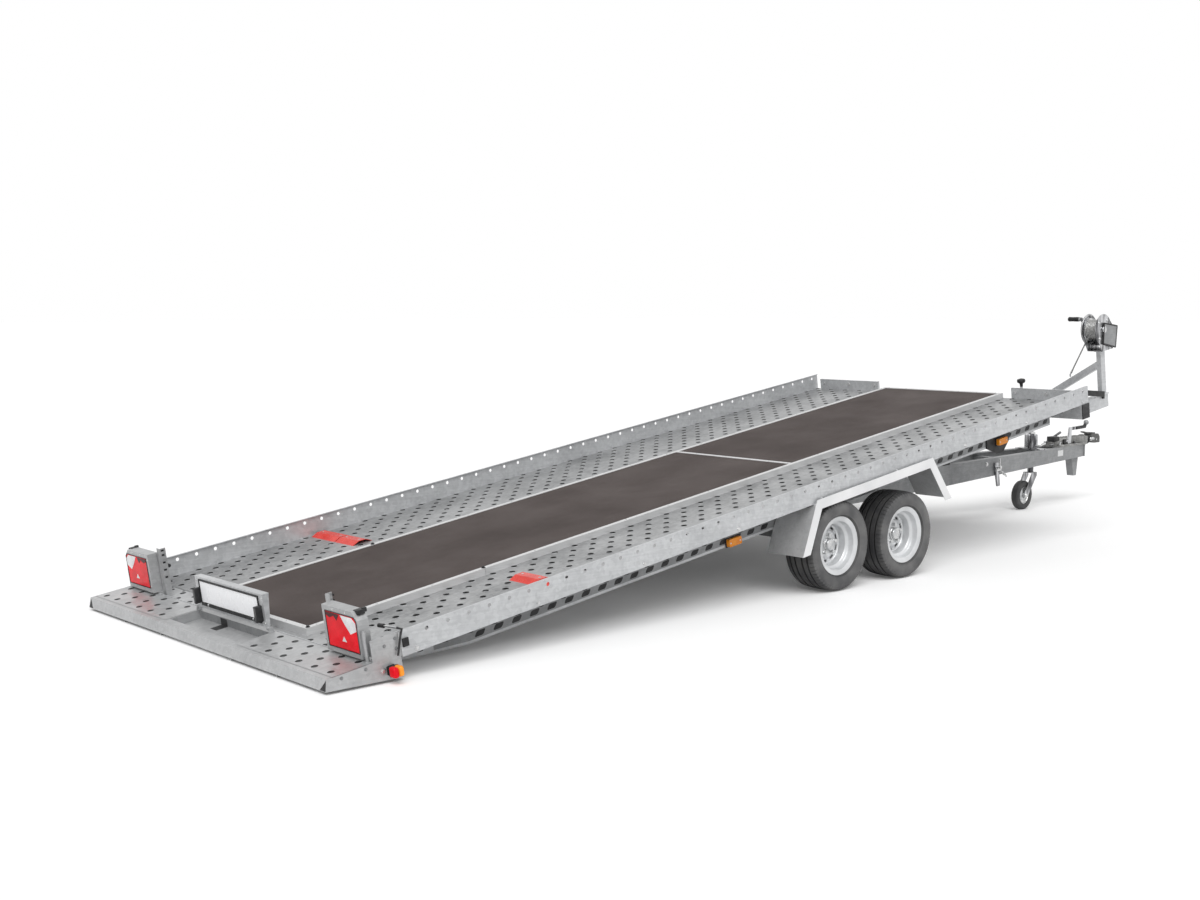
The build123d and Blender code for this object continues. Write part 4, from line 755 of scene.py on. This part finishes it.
# outlines of what shows in the lens, as shares of its width and height
parts = (
    ("window", clear_lens, ((0.5, 1), (0.86, 1), (1, 0.84), (0.99, 0.62), (0.78, 0.5), (0.62, 0.74))),
    ("hood", deep_red, ((0, 1), (0.44, 1), (0.44, 0.93), (0.36, 0.78), (0.28, 0.9), (0.14, 0.82), (0, 0.88))),
    # the triangle reflector is real; its white is a painted highlight
    ("reflector_glint", clear_lens, ((0.47, 0.24), (0.61, 0.24), (0.54, 0.38))),
)
for side, s in (("left", 1), ("right", -1)):
    low, high = span(f"lamp_housing_{side}")
    lens_low, lens_high = span(f"lamp_lens_{side}")
    on_lamp = {"body": f"rear_lamp_{side}"}
    inner, outer = sorted((abs(lens_low.y), abs(lens_high.y)))
    bottom, top = lens_low.z, lens_high.z
    wide, rear = outer + lens_extra, low.x - lens_proud

    def edge_of(margin, u):
        a0, a1, b0, b1 = inner + margin, wide - margin, bottom + margin, top - margin
        corners = ((a0, b0), (a1, b0), (a1, b1 - corner_cut), (a1 - corner_cut, b1), (a0, b1))
        return [(u, s * a, b) for a, b in corners]

    shape = skin(bmesh.new(), [edge_of(5, rear), edge_of(0.3, rear + 3), edge_of(0.3, rear + 7)])
    piece(f"lens_{side}", shape, red_lens, f"lamp_lens_{side}", **on_lamp)
    for name, material, shares in parts:
        outline = []
        for a, b in shares:
            v = min(max(inner + a * (wide - inner), inner + seal_edge), wide - seal_edge)
            w = min(max(bottom + b * (top - bottom), bottom + seal_edge), top - seal_edge)
            outline.append((s * v, w))
        shape = prism(bmesh.new(), outline, rear - 1.2, rear + 1, from_rear)
        piece(f"lens_{name}_{side}", shape, material, **on_lamp)
    loop = [edge_of(m, rear + u) for m, u in ((0.1, -1.2), (2.2, -1.2), (2.2, 3), (0.1, 3), (0.1, -1.2))]
    seal = skin(bmesh.new(), loop, ends=False)
    piece(f"lens_seal_{side}", seal, black_plastic, slot="black_rubber", **on_lamp)
    clip = (
        (low.x + 16, low.x + 50, outer - 24, outer + 10, high.z - 16, high.z + 2),
        (low.x + 44, low.x + 62, outer - 8, outer + 6, high.z - 12, high.z + 6),
    )
    piece(f"lamp_clip_{side}", soften(blocks(bmesh.new(), *clip, sides=(s,)), 2), black_plastic, **on_lamp)
    screws = ((inner + 60, top + 9), (inner + 150, top + 9), (inner - 10, bottom + 12), (inner - 10, top - 8))
    screws = [((low.x, s * v, w), aft) for v, w in screws]
    fasten(f"lamp_screws_{side}", screws, 3.2, 12, 1.6, 5.5, 0.6, **on_lamp)

# square post beside each lamp: a foot plate, and slots down its front and inner faces drawn as thin black
# plates of painted shade
feet = blocks(bmesh.new(), (-3096, -3055, 724, 764, lane_top, lane_top + 5), sides=(1, -1))
piece("post_feet", soften(feet, 1), lamp_zinc)
slots = bmesh.new()
for w in (60, 96, 132, 168, 190):
    pair = ((-3061.4, -3060.6, 736, 747, w, w + 9), (-3084, -3070, 729.5, 730.3, w, w + 9))
    blocks(slots, *pair, sides=(1, -1))
piece("post_slot_shade", slots, black_plastic)

# ---------------- number plate holder
# A folded steel carrier hinged at its foot holds a blank white plate in a black moulded frame,
# with a small lamp at each end; it folds forward when a car is driven on.


def plate_recipe(place):
    film = place.noise(18.0, 4.0)
    return {
        "Base Color": film.spread().blend((0.93, 0.94, 0.96), (0.96, 0.965, 0.98)),
        "Roughness": film.spread(0.35, 0.22),
        "Normal": place.cells(420.0).bump(0.1, 0.0002),
    }


coat(finish("white_plate", plate_recipe, Specular_IOR_Level=0.4), "number_plate")
coat(black_plastic, "plate_lamps", "tube_end_caps", "marker_brackets")
plate_low, plate_high = span("number_plate")
frame_rear = plate_low.x - 3
bars = (
    (plate_low.y - 4, plate_high.y + 4, plate_high.z - 3, plate_high.z + 4),
    (plate_low.y - 4, plate_high.y + 4, plate_low.z - 5, plate_low.z + 11),
    (plate_low.y - 4, plate_low.y + 3, plate_low.z + 10, plate_high.z - 2),
    (plate_high.y - 3, plate_high.y + 4, plate_low.z + 10, plate_high.z - 2),
)
plate_frame = blocks(bmesh.new(), *[(frame_rear, plate_high.x, *bar) for bar in bars])
piece("plate_frame", plate_frame, black_plastic, body="plate_carrier")
lamp_rear = span("plate_lamps")[0].x
glass = blocks(bmesh.new(), (lamp_rear - 0.8, lamp_rear + 1, 263.5, 280.5, 36, 94), sides=(1, -1))
smoked = finish("smoked_lens", dull_black, "black_plastic", Coat_Weight=0.6)
piece("plate_lamp_glass", soften(glass, 1.5), smoked, body="plate_carrier")
screws = ((plate_high.x, 290, 22), (plate_high.x, 290, 130), (frame_rear, 200, plate_low.z + 4))
fasten("plate_screws", pairs(screws, aft), 4, 12, 1.5, 6.5, 0.6, body="plate_carrier")

# ---------------- fenders
# Each fender is an arch of galvanised sheet, closed at its ends, with a bright aluminium strip
# round its outer edge.


def fender_recipe(place):
    base = galvanised((0.42, 0.425, 0.43), (0.62, 0.625, 0.63), 0.42)(place)
    strip = abs(place.node("ShaderNodeSeparateXYZ", {0: place}, 1)) > strip_line
    bright = place.noise(6.0, 3.0).spread().blend((0.68, 0.685, 0.69), (0.78, 0.78, 0.785))
    return {**base, "Base Color": strip.blend(base["Base Color"], bright), "Metallic": 0.5 - strip * 0.45}


strip_line = (span("fender_left")[1].y - 2.7) * 0.001
coat(finish("fender", fender_recipe), "fender_left", "fender_right")

# ---------------- wheel marks and markers
# Folded red-painted pads mark where the wheels stop.  Amber side markers screw to the beams and to
# black moulded brackets; the rear ones, half red and half amber, stand out on soft rubber arms.
worn = mottled(
    (0.56, 0.02, 0.012), (0.76, 0.05, 0.03), (0.35, 0.22),
    (22.0, 6.0, 0.7), (260.0, 2.0), (0.15, 0.0004), 0.35,
)
coat(finish("red_paint", worn, Specular_IOR_Level=0.35), "red_plates")
coat(amber_lens, "side_markers")
pad_low, pad_high = span("red_plates")
pad_middle = (pad_low.x + pad_high.x) / 2
rivets = pairs([(pad_middle, v, pad_high.z) for v in (665, 786, 842, 1015)], up)
fasten("red_plate_rivets", rivets, 4, 12, 1.2, 6.5, 0.5)

bases, screws = bmesh.new(), []
for u, v, w in ((-859, beam_high.y, -150), (1510, beam_high.y + 8, -148)):
    blocks(bases, (u - 50, u + 50, v, v + 5, w - 23, w + 23), sides=(1, -1))
    screws += pairs([(u + t, v + 24, w) for t in (-34, 34)])
piece("marker_bases", soften(bases, 1.2), black_plastic)
fasten("marker_screws", screws, 2.5, 12, 0.8, 4, 0.3)


def rounded(a, b, half_a, half_b, r):
    """A rectangle with rounded corners about a middle, as points, counter-clockwise."""
    points = []
    for p, q, start in ((1, 1, 0), (-1, 1, 90), (-1, -1, 180), (1, -1, 270)):
        for turn in (0, 22.5, 45, 67.5, 90):
            angle = radians(start + turn)
            points.append((a + p * (half_a - r) + r * cos(angle), b + q * (half_b - r) + r * sin(angle)))
    return points


marker_low, marker_high = span("rear_markers")
u_mid, w_mid = (marker_low.x + marker_high.x) / 2, (marker_low.z + marker_high.z) / 2
for t, material, colour in ((-1, red_lens, "red"), (1, amber_lens, "amber")):
    shape = bmesh.new()
    middle = u_mid + t * 11.7
    for s in (1, -1):
        rings = []
        for v, inset in ((1086, 0), (1112, 0), (1118, 2), (1121, 6)):
            k = 1 - inset / 23
            rings.append([(middle + a * k, s * v, w_mid + b * k) for a, b in rounded(0, 0, 11.3, 21, 7)])
        skin(shape, rings)
    piece(f"rear_marker_{colour}", shape, material)
arms = bmesh.new()
for s in (1, -1):
    for v0, v1, half in ((1061, 1066, 19), (1066, 1080, 13), (1080, 1087, 22)):
        prism(arms, rounded(u_mid, w_mid, half, half, 6), s * v0, s * v1, from_side)
piece("rear_marker_arms", arms, black_plastic, "rear_markers", slot="black_rubber")
fasten("rear_marker_bolts", pairs([(u_mid - 34, flap_side, w_mid + 4)]), 8, 6, 6, 12)

# ---------------- web of the side beams
# Each beam's web is a galvanised plate under the rail, given the darker grey as painted shade from the lane
# above, with a row of slanted lightening slots along it drawn as black plates of painted shade, between the
# beam's front end and the taper of its rear.
web, slots = bmesh.new(), bmesh.new()
web_end, web_foot, web_top = beam_high.x - 2, -156, -114
first_slot, slot_pitch, slot_count, slot_middle, slant = -2446.8, 101.6, 45, -137, 0.7
for s in (1, -1):
    outline = [(-2690, -138), (-2510, web_foot), (web_end, web_foot), (web_end, web_top), (-2690, web_top)]
    prism(web, outline, s * 842.1, s * 843.1, from_side)
    for i in range(slot_count):
        upright = rounded(first_slot + slot_pitch * i, slot_middle, 24, 12, 8)
        slanted = [(a + slant * (b - slot_middle), b) for a, b in upright]
        prism(slots, slanted, s * 843, s * 843.6, from_side)
piece("beam_web", web, grey_zinc, slot="galvanised_steel")
piece("beam_slot_shade", slots, black_plastic, slot="dark_galvanised_steel")
corners = pairs([(u, trim_line, trim_high.z) for u in (panel_low.x + 14, -2102)], up)
fasten("corner_bolts", corners, 7, 6, 6, 10, material=black_plastic)

# ---------------- lamp locks and head plates
# A zinc-plated rod with black plastic ends locks each lamp to its rail's end.  The head plates at
# the lanes' front are folded sheet with a stiffening lip, bolted on, and carry a knobbed latch pin.


def circle(count):
    return [2 * pi * k / count for k in range(count)]


def rod(shape, radius, *points, origin=(0, 0, 0), sides=12):
    """A round bar or tube along a line of points, which are given from an origin."""
    points = [Vector(p) + Vector(origin) for p in points]
    rings, side = [], None
    for i, point in enumerate(points):
        along = (points[min(i + 1, len(points) - 1)] - points[max(i - 1, 0)]).normalized()
        across = (along.cross(side) if side else along.orthogonal()).normalized()
        side = across.cross(along).normalized()
        rings.append([point + radius * (cos(a) * across + sin(a) * side) for a in circle(sides)])
    return skin(shape, rings)


def turned(shape, centre, stations, sides, axis):
    """Rings at (distance, radius) stations along an axis through centre, skinned as on a lathe."""
    rings = []
    for far, radius in stations:
        ring = []
        for a in circle(sides):
            offset = [radius * cos(a), radius * sin(a)]
            offset.insert(axis, far)
            ring.append([c + d for c, d in zip(centre, offset)])
        rings.append(ring)
    return skin(shape, rings)


rods, knobs = bmesh.new(), bmesh.new()
lock = (rail_rear + 11, 0, 0)
for s in (1, -1):
    rod(rods, 4, (0, s * 930, 70), (0, s * 1040, 79), origin=lock)
    bent = [(u, s * v, w) for u, v, w in ((0, 1036, 79), (-1, 1070, 80), (-13, 1071, 54), (-35, 1071, -18))]
    rod(knobs, 4.5, *bent, origin=lock)
    rod(knobs, 9, (0, s * 908, 68), (0, s * 944, 71), origin=lock)
blocks(knobs, (lock[0] - 5, lock[0] + 23, 1066, 1072, 6, 40), sides=(1, -1))
piece("lock_rods", rods, bright_zinc)
piece("lock_knobs", knobs, black_plastic)
head_low, head_high = span("head_plates")
lips = (
    (head_low.x, head_high.x + 14, 527, 1036, head_high.z - 3, head_high.z),
    (head_high.x, head_high.x + 14, 527, 531, head_low.z, head_high.z),
)
piece("head_lips", blocks(bmesh.new(), *lips, sides=(1, -1)), zinc)
fasten("head_bolts", pairs([(head_low.x, v, 6) for v in (560, 780, 1000)], aft), 8, 6, 5, 12)
latch = (2172, -596, 0)
knob = turned(bmesh.new(), latch, ((46, 9), (66, 11), (74, 24), (84, 27), (94, 24), (98, 10)), 16, 2)
stay = [(2196, 2), (2202, 36), (2392, -6), (2386, -52), (2372, -50), (2372, -38)]
prism(knob, stay, -1047, -1037, from_side)
piece("latch_pin", rod(bmesh.new(), 8, (0, 0, 30), (0, 0, 60), origin=latch), bright_zinc)
piece("latch_knob", knob, black_plastic)

# ---------------- winch
# A hand winch of pressed, bright-zinc plates stands on a galvanised post.  Its cable winds on the
# drum in side-by-side turns and runs down to a ring on the brace, held taut when it isn't in use.
# bright zinc plate; its near-black to light streaks are painted reflections
zinc_and_painted_reflections = mottled(
    (0.09, 0.09, 0.095), (0.6, 0.605, 0.62), (0.3, 0.2),
    (1.0, 2.0), (500.0, 2.0), (0.1, 0.0003), 0.38, 0.62, (26.0, 26.0, 7.0),
)
winch_zinc = finish("winch_zinc", zinc_and_painted_reflections, "zinc_plate", Metallic=0.85)
strands = mottled(
    (0.2, 0.2, 0.2), (0.55, 0.55, 0.54), (0.5, 0.32),
    (380.0, 2.0), (380.0, 2.0), (0.5, 0.0008), 0.35, 0.65,
)
wire_rope = finish("wire_rope", strands, "zinc_plate", Metallic=0.7)
coat(zinc, "winch_post")
coat(winch_zinc, "winch_frame", "winch_drum")
frame_low, frame_high = span("winch_frame")
drum = Vector((frame_low.x + 95, (frame_low.y + frame_high.y) / 2, frame_high.z - 95))
at_drum = on_bed @ Matrix.Translation(drum)
cable_radius, turn_count, wound_radius = 4.5, 9, 56


def hoop(shape, y, radius, thick):
    """A closed ring of round section about the winch's axle."""
    section = [(y + thick * sin(a), radius + thick * cos(a)) for a in circle(8)]
    return lathe(shape, section, 40)


first_turn = at_drum @ Matrix.Translation((0, -cable_radius * (turn_count - 1), 0))
turn = hoop(bmesh.new(), 0, wound_radius, cable_radius)
next_turn = (0, 2 * cable_radius, 0)
ride(row_of("cable_turns", turn, turn_count, first_turn, wire_rope, step=next_turn, join=0.001))

# gear wheel outside the left cheek
tooth = bmesh.new()
gear_teeth, foot, tip, inside = 40, 66, 71, 20
pitch = 2 * pi / gear_teeth
outline = ((0, inside), (0, foot), (0.2, foot), (0.35, tip), (0.65, tip), (0.8, foot), (1, foot), (1, inside))
skin(tooth, [[(r * sin(a * pitch), y, r * cos(a * pitch)) for a, r in outline] for y in (38, 44)])
ride(row_of("winch_gear", tooth, gear_teeth, at_drum, bright_zinc, turn=(0, pitch, 0)))
# pressed rims round the cheeks, and the axle's two ends
rims = bmesh.new()
hoop(rims, frame_low.y - drum.y + 3.2, 90, 3.0)
hoop(rims, frame_high.y - drum.y - 3.6, 90, 3.0)
for ends in ((-61, -54), (54, 60)):
    turned(rims, (0, 0, 0), [(y, 20) for y in ends], 24, 1)
piece("winch_rims", rims, bright_zinc, place=at_drum)
cover, edge = bmesh.new(), bmesh.new()
corners = [(u - drum.x, w - drum.z) for u, w in ((2384, 424), (2536, 384), (2504, 256), (2362, 300))]
prism(cover, corners, -60, -56, from_side)
for (u0, w0), (u1, w1) in zip(corners, corners[1:] + corners[:1]):
    rod(edge, 5, (u0, -58, w0), (u1, -58, w1))
turned(edge, (0, 0, 0), ((-49, 72), (-43, 72)), 32, 1)
piece("gear_cover", cover, grey_zinc, place=at_drum)
piece("cover_edge", edge, black_plastic, place=at_drum)
grip = ((73, 11), (76, 13.5), (90, 14.5), (120, 13.5), (144, 14.5), (147, 12), (148, 6))
piece("crank_grip", turned(bmesh.new(), (-60, 0, 72), grip, 20, 1), black_plastic, place=at_drum)
bolts = pairs([(70 * cos(a), 50, 70 * sin(a)) for a in (radians(45 + 90 * k) for k in range(4))])
bolts += pairs([(frame_high.x - drum.x, 30, w) for w in (-85, -5)], ahead)
fasten("winch_bolts", bolts, 5.5, 6, 4, 8.5, 1, place=at_drum)
post_high = span("winch_post")[1]
plates = (
    (post_high.x - 62, post_high.x + 2, drum.y - 34, drum.y + 34, -30, -24),
    (post_high.x - 60, post_high.x, drum.y - 22, drum.y + 22, post_high.z - 8, post_high.z),
)
piece("post_plates", soften(blocks(bmesh.new(), *plates), 1), zinc)

# ---------------- winch cable
# The free run of the steel wire rope leaves the back of the drum and ends in a pressed ferrule on
# its ring at the brace.  It is pulled tight, so it runs straight.
ring = Vector((2425, -801, 96))
leave = drum + Vector((-57, 6, -12))
cable = bpy.data.curves.new("winch_cable", "CURVE")
cable.dimensions = "3D"
cable.bevel_depth = cable_radius * 0.001
cable.bevel_resolution = 3
cable.use_fill_caps = True
line = cable.splines.new("NURBS")
route = [on_bed @ (leave + (ring - leave) * t) for t in (0, 0.35, 0.7, 1)]
line.points.add(len(route) - 1)
for point, place in zip(line.points, route):
    point.co = (*place, 1)
line.order_u = 3
line.use_endpoint_u = True
cable.materials.append(wire_rope)
winch_cable = add("winch_cable", cable)
ride(winch_cable)
along = (ring - leave).normalized()
ferrule = rod(bmesh.new(), 6.5, along * -26, along * -2, origin=ring)
rod(ferrule, 5, (0, 0, 0), (0, 8, -12), (0, 6, -26), origin=ring)
piece("cable_ferrule", ferrule, bright_zinc)

# ---------------- overrun coupling and handbrake
# A cast overrun unit bolts across the drawbar's nose: damper housing with ribs, rubber bellows, and
# the ball head with its lift handle.  The handbrake lever and a gas strut stand beside it.
# chassis coordinates, in millimetres: ahead of the pivot, to the left, above the ground
on_ground = Matrix.Translation((pivot.x, 0, 0)) @ millimetres
fixed = {"body": "chassis", "place": on_ground}
painted = galvanised((0.03, 0.03, 0.03), (0.16, 0.16, 0.155), 0.45, 40.0)
black_iron = finish("black_iron", painted, "cast_housing", Metallic=0.3)
coat(cast_iron, "coupling_housing")
coat(black_iron, "coupling_head")
coat(black_plastic, "coupling_bellows", "bed_buffers")
coat(winch_zinc, "handbrake_lever", "tilt_lock")
coat(grey_zinc, "support_leg")
house_low, house_high = span("coupling_housing", on_ground)
bellows_low, bellows_high = span("coupling_bellows", on_ground)
head_low, head_high = span("coupling_head", on_ground)
lever_low, lever_high = span("handbrake_lever", on_ground)
middle = (bellows_low.z + bellows_high.z) / 2

# bellows: six convolutions turned on the coupling's axis
folds = 6
depths = [(0, 2.7, 5.5, 2.7)[i % 4] for i in range(folds * 4 + 1)]
profile = [(x, 36.0 - depth) for x, depth in zip(spaced(bellows_low.x, bellows_high.x, len(depths)), depths)]
bellows = turned(bmesh.new(), (0, 0, middle), profile, 32, 0)
piece("bellows", bellows, black_plastic, "coupling_bellows", slot="black_rubber", **fixed)

castings = bmesh.new()
first_rib, rib_pitch, rib_count = 175, 38, 7
for k in range(rib_count):
    x = house_low.x + first_rib + k * rib_pitch
    blocks(castings, (x, x + 7, -47, 47, house_high.z - 30, house_high.z + 3))
flanges = (
    (house_low.x + 150, house_high.x - 6, 45, 50, middle - 8, middle + 2),
    (house_low.x + 20, house_high.x - 90, 50, 76, 434, 441),
)
blocks(castings, *flanges, sides=(1, -1))
collar = [(house_high.x + x, r) for x, r in ((-26, 40), (-20, 42.5), (2, 42.5))]
turned(castings, (0, 0, middle), collar, 24, 0)
piece("housing_ribs", soften(castings, 1.5), cast_iron, **fixed)

handle, pins = bmesh.new(), bmesh.new()
on_axle = {"origin": (head_low.x, 0, middle)}
lift = [(24, -8), (-6, 2), (-56, 12), (-52, 22), (-6, 14)]
outline = [(head_high.x - 34, head_high.z - 8), *[(head_low.x + x, head_high.z + z) for x, z in lift]]
prism(handle, [*outline, (head_high.x - 20, head_high.z + 4)], -14, 14, from_side)
rod(handle, 9, (62, -41, 12), (62, 41, 12), **on_axle)
piece("head_handle", soften(handle, 2.5), black_iron, **fixed)
for x in (18, 92):
    rod(pins, 6, (x, -40, -4), (x, 40, -4), **on_axle)
piece("head_pins", pins, bright_zinc, **fixed)

lever = Vector((lever_low.x, (lever_low.y + lever_high.y) / 2, lever_low.z))
grip = rod(bmesh.new(), 12.5, (116, 0, 108), (232, 0, 112), (247, 0, 124), origin=lever, sides=16)
ball = [(19 * cos(pi * i / 12), 19 * sin(pi * i / 12)) for i in range(1, 12)]
piece("lever_grip", grip, black_plastic, slot="black_rubber", **fixed)
piece("lever_ball", turned(bmesh.new(), lever + Vector((262, 0, 142)), ball, 16, 2), grey_zinc, **fixed)

# gas strut, brake rod, lever link, four bolt ends and two clamp blocks: the crowded fittings on the nose
fittings = rod(bmesh.new(), 6, lever + Vector((20, -4, 20)), (lever.x - 190, -20, 440))
for radius, *ends in (
    (9, (-60, 26, 442), (190, 30, 520)),
    (5, (60, 30, 480), (190, 30, 520)),
    (7, (-240, 0, 402), (120, 0, 418)),
    *[(6.6, (x, y, 434), (x, y, z)) for x, z in ((30, 462), (230, 458)) for y in (-62, 62)],
):
    rod(fittings, radius, *ends, origin=(house_low.x, 0, 0))
piece("brake_linkage", fittings, winch_zinc, **fixed)
clamps = (
    (house_low.x + 4, house_low.x + 74, -34, 30, 462, 500),
    (house_low.x + 96, house_low.x + 132, -58, -46, 440, 480),
)
piece("nose_blocks", soften(blocks(bmesh.new(), *clamps), 4), black_plastic, **fixed)
bolts = pairs([(house_low.x + x, 66, house_low.z + 8) for x in (60, 160, 260)], up)
bolts += pairs([(head_low.x + x, 38, middle + 6) for x in (10, 40)])
fasten("coupling_bolts", bolts, 9, 6, 7, 13, 2, **fixed)

# ---------------- drawbar fittings
# Bolts hold the axles, brackets and lock to the drawbar's members.  A blank type plate is fixed to
# its nose, and the tilt lock has a turned bolt with a cross handle and a short chain of bent wire.


member_rear, member_length, wide_half, narrowing = -430, 4280, 420, 358


def member_face(x):
    """Outer face of the drawbar member, x ahead of the pivot."""
    return wide_half - (x - member_rear) * narrowing / member_length


spots = ((-380, 330), (-330, 330), (140, 348), (190, 348), (560, 320), (1500, 350), (2380, 392))
bolts = [(x, member_face(x) + 0.2, z) for x, z in spots]
fasten("chassis_bolts", pairs(bolts), 9, 6, 6, 14, 2, **fixed)
corners = ((3428, 366), (3510, 366), (3510, 408), (3428, 408))
plate = skin(bmesh.new(), [[(x, -member_face(x) - d, z) for x, z in corners] for d in (0.3, 1.3)])
piece("type_plate", plate, aluminium, **fixed)
lock_low, lock_high = span("tilt_lock", on_ground)
at_lock = {"origin": (lock_low.x + 30, lock_low.y - 4, lock_high.z - 30)}
lock_width = lock_high.y - lock_low.y
bolt = rod(bmesh.new(), 11, (0, lock_width + 8, 0), (0, -26, 0), **at_lock)
rod(bolt, 7, (-22, 0, -22), (34, 0, -22), **at_lock)
rod(bolt, 5, (0, -14, 0), (0, -14, 58), **at_lock)
piece("lock_bolt", bolt, bright_zinc, **fixed)
link_reach, link_half, wire = 5.0, 8.0, 2.6
bends = [radians(20 * k - 90) for k in range(10)]
path = [Vector((link_reach + link_half * cos(a), link_half * sin(a), 0)) for a in bends]
path += [Vector((-p.x, p.y, 0)) for p in reversed(path)]
rings = []
for i in range(len(path) + 1):
    point = path[i % len(path)]
    run = (path[(i + 1) % len(path)] - path[i % len(path) - 1]).normalized()
    across = Vector((run.y, -run.x, 0))
    rings.append([point + wire * (cos(a) * across + sin(a) * Vector(up)) for a in circle(8)])
link = skin(bmesh.new(), rings, ends=False)
chain_start = Matrix.Translation((lock_high.x + 4, lock_low.y - 8, lock_high.z - 66))
chain_place = on_ground @ chain_start @ Matrix.Rotation(radians(28), 4, "Y")
chain = row_of(
    "lock_chain", link, 4, chain_place, bright_zinc, step=(19.5, 0, 0), turn=(radians(80), 0, 0), join=0.001
)
ride(chain, body="chassis")

# ---------------- jockey wheel
# A telescopic zinc-plated tube clamped to the drawbar, with a crank on top, carries a solid
# rubber-tyred wheel in a swivelling fork.
coat(winch_zinc, "jockey_tube", "jockey_fork")
coat(rubber, "jockey_tyre")
coat(lacquer, "jockey_rim")
tube_low, tube_high = span("jockey_tube", on_ground)
tube_x = (tube_low.x + tube_high.x) / 2
at_top, at_foot = {"origin": (tube_x, 0, tube_high.z)}, {"origin": (tube_x, 0, 0)}
crank, sleeve = bmesh.new(), bmesh.new()
rod(crank, 10, (0, 0, -4), (0, 0, 12), **at_top)
rod(crank, 6, (0, 0, 9), (66, 30, 9), **at_top)
rod(crank, 29, (0, 0, -12), (0, 0, -1), sides=32, **at_top)
rod(crank, 28.6, (0, 0, -120), (0, 0, -114), sides=32, **at_top)
rod(crank, 6, (-8, -36, 456), (-8, -82, 456), **at_foot)
rod(crank, 5, (-8, -80, 456), (42, -92, 470), **at_foot)
handle = rod(bmesh.new(), 9, (66, 30, 4), (66, 30, 44), **at_top)
fluted = [(a, 5 if k % 4 > 1 else 0) for k, a in enumerate(circle(40))]
sleeve_rings = []
for wide, z in ((44, 435), (46, 438), (46, 530), (43, 534)):
    sleeve_rings.append([(tube_x + (wide - d) * cos(a), (wide - d) * sin(a), z) for a, d in fluted])
piece("jockey_crank", crank, bright_zinc, **fixed)
piece("jockey_clamp", skin(sleeve, sleeve_rings), winch_zinc, **fixed)
piece("jockey_handle", handle, black_plastic, **fixed)
wheel_low, wheel_high = span("jockey_tyre", on_ground)
at_wheel = on_ground @ Matrix.Translation((wheel_low + wheel_high) / 2)
faces = bmesh.new()
section = [(20, 61), (20, 54), (15, 50), (15, 24), (19, 22), (19, 30), (17, 34), (17, 52), (21, 58), (21, 61)]
for s in (1, -1):
    lathe(faces, [(s * y, r) for y, r in section], 48)
on_wheel = {"body": "jockey_wheel", "place": at_wheel}
piece("jockey_rim_faces", faces, bright_zinc, **on_wheel)
bolts = pairs([(41 * cos(a), 17, 41 * sin(a)) for a in circle(5)])
fasten("jockey_rim_bolts", bolts, 3.5, 6, 1.5, 5.5, 0.5, **on_wheel)
fasten("jockey_axle_nuts", pairs([(0, 35.5, 0)]), 9, 6, 7, 12, body="jockey_swivel", place=at_wheel)
